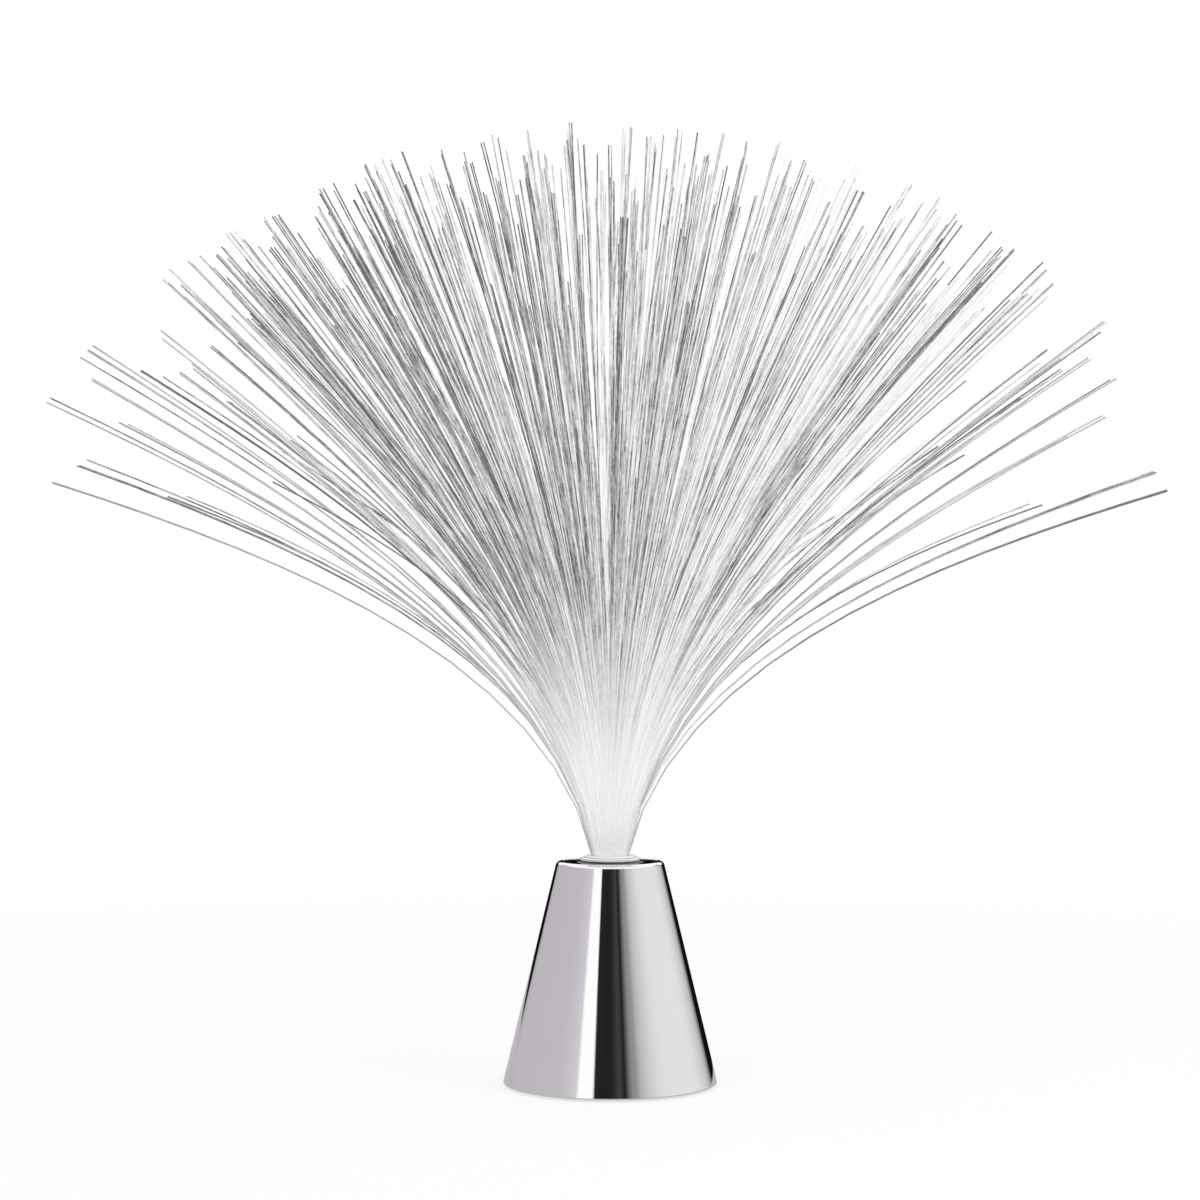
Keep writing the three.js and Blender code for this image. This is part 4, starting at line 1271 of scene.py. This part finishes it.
@dataclass
class FibreGrowth:
    """The tree that grows the fibres. Each property is one measure of every fibre, as a node or socket."""

    spray: FibreSpray
    sizes: Sizes

    def __post_init__(self) -> None:
        """Start the tree."""
        self.tree, self.size = new_tree("fibre_spray_tree", self.sizes)
        self.put = partial(add, self.tree)

    def fibres(self) -> Node:
        """Bend a straight strand into each fibre, label it for its finish, and give it its thickness.

        Returns:
            The node that gives the fibres' mesh.
        """
        put = self.put
        line = put("GeometryNodeCurvePrimitiveLine", [(0, 0, 0), (0, 0, 1)])
        strand = put("GeometryNodeResampleCurve", {"Curve": line, "Count": self.spray.stations}, mode="COUNT")
        strands = put("GeometryNodeDuplicateElements", {0: strand, "Amount": self.size["Fibres"]},
                      domain="SPLINE")
        labelled = put("GeometryNodeSetPosition", {0: strands, "Position": self.position})
        labels = {"along": self.along, "tone": self.tone, "lane": self.lane, "edge": self.edge}
        for label, value in labels.items():
            labelled = put("GeometryNodeStoreNamedAttribute", {0: labelled, "Name": label, "Value": value},
                           data_type="FLOAT", domain="POINT")
        section = put("GeometryNodeCurvePrimitiveCircle", {
            "Resolution": self.spray.sides, "Radius": self.size["Fibre Radius"]}, mode="RADIUS")
        solid = put("GeometryNodeCurveToMesh", {
            "Curve": labelled, "Profile Curve": section, "Fill Caps": True})
        return put("GeometryNodeSetShadeSmooth", {0: solid, "Shade Smooth": True})

    def chance(self, draw: Draw) -> Socket:
        """Draw a number from 0 to 1 for each fibre."""
        seed = self.put(Op.PLUS, [self.size["Seed"], float(draw.value)])
        return self.put("FunctionNodeRandomValue", {"ID": self.fibre, "Seed": seed},
                        data_type="FLOAT").outputs[1]

    def turned(self, steps: Node) -> Node:
        """Turn steps round a ring into an angle: ring n has 6 n of them."""
        return self.put(Op.OVER, [self.put(Op.TIMES, [steps, math.pi / 3]), self.ring])

    def sideways(self, turn: Node) -> Node:
        """Tell how far to the side an angle lies on its ring, from -1 at the left to 1 at the right."""
        return self.put(Op.TIMES, [self.put(Op.COSINE, [turn]), self.rank])

    @cached_property
    def fibre(self) -> Socket:
        """The fibre's number, at each of its points."""
        point = self.put("GeometryNodeInputIndex")
        return self.put("GeometryNodeCurveOfPoint", [point]).outputs["Curve Index"]

    @cached_property
    def along(self) -> Socket:
        """The share of the fibre's length behind each point."""
        return self.put("GeometryNodeSplineParameter").outputs["Factor"]

    @cached_property
    def root(self) -> Node:
        """The root's number: the fibres come in rounds, and each round has one of every root."""
        return self.put(Op.REST, [self.fibre, self.size["Roots"]])

    @cached_property
    def ring(self) -> Node:
        """The root's ring: ring n holds 6 n roots, so the roots inside it number 3 n (n - 1)."""
        inside = self.put(Op.ROOT, [self.put(Op.TIMES_PLUS, [self.root, 4 / 3, 1.01])])
        return self.put(Op.FLOOR, [self.put(Op.TIMES_PLUS, [inside, 0.5, 0.5])])

    @cached_property
    def rank(self) -> Node:
        """The share of the rings that the root's ring has come to."""
        return self.put(Op.OVER, [self.ring, float(self.spray.rings)])

    @cached_property
    def place(self) -> Node:
        """The root's place on its ring."""
        twice = self.put(Op.TIMES, [self.ring, self.put(Op.MINUS, [self.ring, 1.0])])
        return self.put(Op.MINUS, [self.root, self.put(Op.TIMES, [twice, 3.0])])

    @cached_property
    def steps(self) -> Node:
        """The steps round the ring to the middle of the root's place."""
        return self.put(Op.PLUS, [self.place, 0.5])

    @cached_property
    def edge(self) -> Node:
        """How near the root is to the spray's left or right side, from 0 to 1."""
        side = self.put(Op.SIZE, [self.sideways(self.turned(self.steps))])
        return self.put(MAP_RANGE, {"Value": side, "From Min": self.spray.edge_from})

    @cached_property
    def twin(self) -> Node:
        """How freely the fibre stands: a root's first not at all, the next hardly, and the last the most.

        At the spray's sides all keep close together, so that it ends in single strays.

        Returns:
            The node.
        """
        past = self.put(Op.OVER, [self.put(Op.PLUS, [self.fibre, 0.5]), self.size["Roots"]])
        order = self.put(Op.OVER, [self.put(Op.FLOOR, [past]), float(self.spray.fibres_per_root - 1)])
        free = self.put(Op.POWER, [order, self.spray.twin_closeness])
        apart = self.put(Op.TIMES_PLUS, [self.edge, -self.spray.edge_close_share, 1.0])
        return self.put(Op.TIMES, [free, apart])

    @cached_property
    def scatter(self) -> Node:
        """A steady scatter from 0 to 1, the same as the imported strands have, which varies lean and length."""
        squared = self.put(Op.TIMES_PLUS, [self.ring, self.ring, self.place])
        return self.put(Op.FRACTION, [self.put(Op.TIMES, [squared, GOLDEN_SHARE])])

    @cached_property
    def stray(self) -> Node:
        """How far the fibre strays: the outermost ring takes the shares in turn, and no other ring strays.

        Returns:
            The node.
        """
        shares = self.spray.stray_shares
        pick = self.put("GeometryNodeIndexSwitch", data_type="FLOAT")
        while len(pick.index_switch_items) < len(shares):
            pick.index_switch_items.new()
        for i, share in enumerate(shares):
            pick.inputs[i + 1].default_value = share
        self.tree.links.new(self.put(Op.REST, [self.place, float(len(shares))]).outputs[0], pick.inputs[0])
        return self.put(Op.TIMES, [pick, self.put(Op.ABOVE, [self.ring, self.spray.rings - 0.5])])

    @cached_property
    def lean(self) -> Node:
        """How far the fibre leans out by its tip.

        Returns:
            The node.
        """
        wobble, off = (
            self.put(MAP_RANGE, {"Value": share, "To Min": -math.radians(reach),
                                 "To Max": math.radians(reach)})
            for share, reach in ((self.scatter, self.spray.wobble_deg),
                                 (self.chance(Draw.LEAN), self.spray.twin_lean_deg))
        )
        core = self.put(Op.TIMES, [self.put(Op.PLUS, [self.size["Core Lean"], wobble]), self.rank])
        first = self.put(Op.TIMES_PLUS, [self.stray, self.size["Stray Lean"], core])
        return self.put(Op.SIZE, [self.put(Op.TIMES_PLUS, [self.twin, off, first])])

    @cached_property
    def length(self) -> Node:
        """The fibre's length: the innermost are whole, and the furthest strays are all cut alike.

        Returns:
            The node.
        """
        put, spray = self.put, self.spray
        short = put(Op.POWER, [put(Op.MINUS, [1.0, self.scatter]), spray.long_bias])
        trim = put(Op.TIMES_PLUS, [short, spray.shortest_share - 1, 1.0])
        trim = put(MIX, {"Factor": put(Op.ABOVE, [self.stray, 0.99]), 2: trim, 3: spray.stray_length_share})
        trim = put(MIX, {"Factor": put(Op.BELOW, [self.ring, 1.5]), 2: trim, 3: 1.0})
        cut = put(Op.TIMES, [put(Op.POWER, [self.chance(Draw.LENGTH), 2.0]), -spray.twin_shortening])
        return put(Op.TIMES, [put(Op.TIMES_PLUS, [self.twin, cut, trim]), self.size["Length"]])

    @cached_property
    def turn(self) -> Node:
        """The way that the fibre leans, as an angle about the lamp's axis.

        The fibres of a ring drift round alike, and a twin may stand anywhere in its root's place.

        Returns:
            The node.
        """
        share = self.put(Op.FRACTION, [self.put(Op.TIMES, [self.ring, GOLDEN_SHARE])])
        drift, aside = (self.put(Op.MINUS, [part, 0.5]) for part in (share, self.chance(Draw.TURN)))
        aside = self.put(Op.TIMES, [aside, self.twin])
        drifted = self.put(Op.TIMES_PLUS, [drift, self.along, aside])
        return self.turned(self.put(Op.PLUS, [self.steps, drifted]))

    @cached_property
    def root_radius(self) -> Node:
        """How far from the lamp's axis the fibre starts.

        Returns:
            The node.
        """
        back = self.put(Op.TIMES, [self.chance(Draw.ROOT), self.twin])
        inwards = self.put(Op.TIMES_PLUS, [back, self.spray.twin_set_back, 1 / 3])
        spacing = self.put(Op.OVER, [self.size["Bundle Radius"], float(self.spray.rings)])
        return self.put(Op.TIMES, [self.put(Op.MINUS, [self.ring, inwards]), spacing])

    @cached_property
    def lane(self) -> Node:
        """The fibre's own lane through the finish's streaks."""
        return self.put(Op.TIMES, [self.chance(Draw.LANE), self.spray.lanes])

    @cached_property
    def tone(self) -> Node:
        """How pale the fibre is.

        Those that lean a little to the left get painted shade, as if the light fell from the right, and so do
        the strays. Those that lean to the right differ more from each other, and those at the sides less.

        Returns:
            The node.
        """
        put, spray = self.put, self.spray
        side = self.sideways(self.turn)
        rise, fall, right = (
            put(MAP_RANGE, {"Value": side, "From Min": low, "From Max": high},
                interpolation_type="SMOOTHSTEP")
            for low, high in (*spray.left_painted_shade_band, spray.right_band)
        )
        left_shaded_tone = put(Op.TIMES_PLUS, [put(Op.MINUS, [rise, fall]), -spray.left_painted_shade, spray.plain_tone])
        spread = put(Op.TIMES, [put(Op.TIMES_PLUS, [right, spray.right_spread, spray.tone_spread]),
                                put(Op.TIMES_PLUS, [self.edge, -spray.edge_even_share, 1.0])])
        loose = put(Op.TIMES_PLUS, [put(Op.MINUS, [self.chance(Draw.TONE), 0.5]), spread, left_shaded_tone])
        # Painted shade: the strays are darker, for the darker surroundings that they refract.
        return put(Op.TIMES_PLUS, [self.stray, -spray.stray_painted_shade, loose])

    @cached_property
    def position(self) -> Node:
        """Where each point of the fibre is.

        A fibre's course is the sum of short straight steps, each leaning a little more than the last.

        Returns:
            The node.
        """
        put = self.put
        step = put(Op.OVER, [self.length, float(self.spray.stations - 1)])
        half_ahead = put(Op.TIMES_PLUS, [step, 0.5, put(Op.TIMES, [self.along, self.length])])
        decay = put(Op.TIMES, [put(Op.OVER, [half_ahead, self.size["Bend Length"]]), -1.0])
        reached = put(Op.TIMES_PLUS, [put(Op.EXPONENT, [decay]), self.spray.root_lean_share - 1, 1.0])
        lean = put(Op.TIMES, [reached, self.lean])
        out, up = (
            put("GeometryNodeAccumulateField", {
                0: put(Op.TIMES, [put(part, [lean]), step]), "Group ID": self.fibre,
            }, data_type="FLOAT", domain="POINT").outputs["Trailing"]
            for part in (Op.SINE, Op.COSINE)
        )
        reach = put(Op.PLUS, [out, self.root_radius])
        cosine, sine = (put(part, [self.turn]) for part in (Op.COSINE, Op.SINE))
        x, y = (put(Op.TIMES, [part, reach]) for part in (cosine, sine))
        z = put(Op.PLUS, [up, self.size["Root Level"]])
        return put(VectorOp.PLUS, [put(COMBINE, [x, y, z]), self.shift(cosine, sine)])

    def shift(self, cosine: Node, sine: Node) -> Node:
        """Move neighbours the same way, so that the fibres gather in loose clumps with partings between them.

        The strays lie apart and aren't moved.

        Args:
            cosine: The cosine of the fibre's turn.
            sine: Its sine.

        Returns:
            The node that gives the move.
        """
        put, spray = self.put, self.spray
        lean_x, lean_y = (put(Op.TIMES, [part, self.lean]) for part in (cosine, sine))
        held = put(Op.MINUS, [1.0, self.stray])
        late = put(Op.TIMES, [put(Op.POWER, [self.along, spray.late_power]), held])
        clump = put(NOISE, {"Vector": put(COMBINE, [lean_x, lean_y, 0.0]), "Scale": spray.clumps_per_radian,
                            "Detail": 2.0, "Roughness": 0.7})
        clump = put(VectorOp.MINUS, [clump.outputs["Color"], (0.5, 0.5, 0.5)])
        clump = put(VectorOp.SCALE, {0: clump, 3: put(Op.TIMES, [late, self.size["Clump Shift"]])})
        clump = put(VectorOp.TIMES, [clump, (NOISE_SWING, NOISE_SWING, 0.0)])
        widest = put(Op.TIMES, [put(Op.TIMES, [late, self.size["Parting Shift"]]), NOISE_SWING])
        partings = []
        for level, part in zip(spray.parting_levels, (lean_x, lean_y)):
            parting = put(NOISE, {"Vector": put(COMBINE, [part, level]), "Scale": spray.partings_per_radian,
                                  "Detail": 1.0})
            partings.append(put(Op.TIMES, [put(Op.MINUS, [parting, 0.5]), widest]))
        return put(VectorOp.PLUS, [clump, put(COMBINE, partings)])


# Studio, camera and lamps


@dataclass
class Studio:
    """A plain pale floor, soft lamps, and a white room whose grey walls and dark flags show in the chrome."""

    floor_radius: float = 9.0
    floor_colour: str = "#F4F4F4"
    shadow_share: float = 0.3
    shadow_reach: Pair = (0.12, 0.9)
    sheet_colour: str = "#B5B1B4"
    # The reach of the grey sheet under the lamp: painted shade that the chrome mirrors.
    painted_shade_sheet_reach: float = 0.06
    sheet_left: float = 0.6
    sheet_left_edge: Pair = (-0.01, -0.05)
    sheet_fade: float = 1.3
    fill: float = 0.78
    mirror_gain: float = 1.27
    panel_rise: Pair = (0.47, 0.6)
    strip_rise: Pair = (0.2, 0.28)
    strip_turn: float = 2.5
    # The walls by their angle about the lamp: 0 faces it from the front, and the right is positive.
    walls: Stops = (
        (-180, "#060606"), (-148, "#060606"), (-144.5, "#AAA6A9"), (-134, "#B9B5B8"), (-60, "#BDB9BC"),
        (-46, "#C6C2C5"), (-37, "#CFCBCE"), (-34.5, "#FFFFFF"), (-19, "#FFFFFF"), (-17, "#242425"),
        (-4, "#1E1E1F"), (3, "#262627"), (9, "#3D3D3E"), (12.5, "#393939"), (15, "#1C1C1D"),
        (17, "#2C2C2D"), (21.5, "#727273"), (25, "#8E8E8F"), (28, "#8C8C8D"), (34, "#B3B3B3"),
        (41, "#C5C5C6"), (54, "#D9D9D9"), (64, "#E0E0E0"), (100, "#E2E2E2"), (110, "#DDDDDD"),
        (119, "#D2D2D2"), (131, "#BEBEBE"), (139, "#8A8A8A"), (145, "#101010"), (180, "#060606"),
    )
    # Each soft lamp's place, power in watts and width.
    softboxes: tuple[tuple[str, Triple, float, float], ...] = (
        ("softbox_left", (-0.9, -1.1, 1.0), 3.5, 0.9), ("softbox_right", (1.1, -0.8, 0.8), 5.0, 0.8),
        ("softbox_top", (0.1, 0.3, 1.6), 4.0, 1.0),
    )
    lamps_aim: Triple = (0, 0, 0.15)
    lens_mm: float = 79.6
    sensor_mm: float = 36.0
    camera_place: Triple = (-0.0035, -0.919, 0.1541)
    camera_tilt_deg: float = 0.82

    def build(self) -> None:
        """Build the floor, the room, the lamps and the camera."""
        self.floor()
        self.room()
        self.lamps()
        self.camera()

    def rays(self, tree: Tree) -> tuple[Node, Socket]:
        """Tell the rays that the picture shows, also through plastic, from those that the chrome mirrors.

        Args:
            tree: The shader's tree.

        Returns:
            What is 1 for the first, and what is 1 for the others.
        """
        rays = add(tree, "ShaderNodeLightPath").outputs
        seen = add(tree, Op.LARGER, [rays["Is Camera Ray"], rays["Is Transmission Ray"]])
        return seen, rays["Is Glossy Ray"]

    def floor(self) -> None:
        """Lay the floor, which is white to the camera but keeps a soft shadow near the lamp."""
        material = bpy.data.materials.new("white_paper_floor")
        material.use_nodes = True
        tree = material.node_tree
        tree.nodes.clear()
        put = partial(add, tree)
        seen, glossy = self.rays(tree)
        place = put("ShaderNodeTexCoord").outputs["Object"]
        distance = put(VectorOp.LENGTH, [place]).outputs["Value"]
        near, far = self.shadow_reach
        shadow = put(MAP_RANGE, {"Value": distance, "From Min": near, "From Max": far,
                                 "To Min": self.shadow_share, "To Max": 0.0}, interpolation_type="SMOOTHSTEP")
        share = put(Op.TIMES, [put(Op.MINUS, [1.0, shadow]), seen])
        paper = put("ShaderNodeBsdfDiffuse", {"Color": rgb(self.floor_colour)})
        glow = put("ShaderNodeEmission", {"Color": (1, 1, 1, 1), "Strength": 1.0})
        shown = put(MIX_SHADER, [share, paper, glow])
        # The chrome sees a grey sheet under the lamp and on its left, and the room's walls go on below it. The
        # sheet under the lamp is painted shade, for the shaded floor at the foot as the chrome mirrors it.
        under, beside = (
            put(MAP_RANGE, {"Value": distance, "From Min": reach, "From Max": self.sheet_fade * reach,
                            "To Min": 1.0, "To Max": 0.0}, interpolation_type="SMOOTHSTEP")
            for reach in (self.painted_shade_sheet_reach, self.sheet_left)
        )
        start, end = self.sheet_left_edge
        across = put(SEPARATE, [place]).outputs["X"]
        left = put(MAP_RANGE, {"Value": across, "From Min": start, "From Max": end},
                   interpolation_type="SMOOTHSTEP")
        sheet = put(Op.LARGER, [under, put(Op.TIMES, [beside, left])])
        grey = put("ShaderNodeEmission", {"Color": rgb(self.sheet_colour), "Strength": self.mirror_gain})
        mirrored = put(MIX_SHADER, [sheet, put("ShaderNodeBsdfTransparent"), grey])
        put("ShaderNodeOutputMaterial", [put(MIX_SHADER, [glossy, shown, mirrored])])

        mesh = bpy.data.meshes.new("floor")
        shape = bmesh.new()
        bmesh.ops.create_circle(shape, cap_ends=True, segments=96, radius=self.floor_radius)
        shape.to_mesh(mesh)
        shape.free()
        mesh.materials.append(material)
        linked("floor", mesh)

    def room(self) -> None:
        """Make the room: white behind the lamp, with walls and flags all round that only the chrome shows."""
        world = bpy.data.worlds.new("white_room")
        bpy.context.scene.world = world
        world.use_nodes = True
        tree = world.node_tree
        tree.nodes.clear()
        put = partial(add, tree)
        seen, glossy = self.rays(tree)
        towards = put(SEPARATE, [put("ShaderNodeTexCoord").outputs["Generated"]]).outputs
        turn = put(Op.ARCTAN2, [towards["X"], put(Op.TIMES, [towards["Y"], -1.0])])
        share = put(MAP_RANGE, {"Value": turn, "From Min": -math.pi, "From Max": math.pi})
        walls = put("ShaderNodeValToRGB", [share])
        fill_ramp(walls.color_ramp, tuple(((angle + 180) / 360, code) for angle, code in self.walls))
        # Over the lamp hangs a wide white panel, which the cone's rim catches.
        start, end = self.panel_rise
        panel = put(MAP_RANGE, {"Value": towards["Z"], "From Min": start, "From Max": end},
                    interpolation_type="SMOOTHSTEP")
        # Above the dark flags behind the lamp the wall is white, and shows in the collar's satin flange.
        start, end = self.strip_rise
        above = put(MAP_RANGE, {"Value": towards["Z"], "From Min": start, "From Max": end})
        strip = put(Op.TIMES, [above, put(Op.ABOVE, [put(Op.SIZE, [turn]), self.strip_turn])])
        walls = put(MIX, {"Factor": put(Op.LARGER, [panel, strip]), 6: walls, 7: (1, 1, 1, 1)},
                    data_type="RGBA").outputs[2]
        white = (1, 1, 1, 1)
        backdrop, fill, mirrored = (
            put("ShaderNodeBackground", [colour, strength])
            for colour, strength in ((white, 1.0), (white, self.fill), (walls, self.mirror_gain))
        )
        plain = put(MIX_SHADER, [seen, fill, backdrop])
        put("ShaderNodeOutputWorld", [put(MIX_SHADER, [glossy, plain, mirrored])])

    def lamps(self) -> None:
        """Hang two soft lamps in front of the lamp and one over it."""
        for name, place, power, width in self.softboxes:
            data = bpy.data.lights.new(name, "AREA")
            data.shape = "SQUARE"
            data.size = width
            data.energy = power
            lamp = linked(name, data)
            lamp.location = place
            lamp.rotation_euler = (Vector(self.lamps_aim) - Vector(place)).to_track_quat("-Z", "Y").to_euler()
            lamp.visible_glossy = False

    def camera(self) -> None:
        """Set the camera up a little above the lamp's cone, looking level."""
        data = bpy.data.cameras.new("camera")
        data.lens = self.lens_mm
        data.sensor_width = self.sensor_mm
        camera = linked("camera", data)
        camera.location = self.camera_place
        camera.rotation_euler = (math.radians(90 + self.camera_tilt_deg), 0.0, 0.0)
        bpy.context.scene.camera = camera


def main() -> None:
    """Build the studio and every piece of the lamp, in order."""
    logging.basicConfig(level=logging.INFO, format="%(name)s: %(message)s")
    bpy.context.scene.view_settings.view_transform = "Standard"
    Studio().build()
    for assembly in (PlatedCone(), BasePlate(), BatteryDoor(), PowerSwitch(), BatteryPack(), LedBoard(),
                     NeckFitting(), FibreSpray()):
        LOG.info("building %s", type(assembly).__name__)
        assembly.build()


if __name__ == "__main__":
    main()
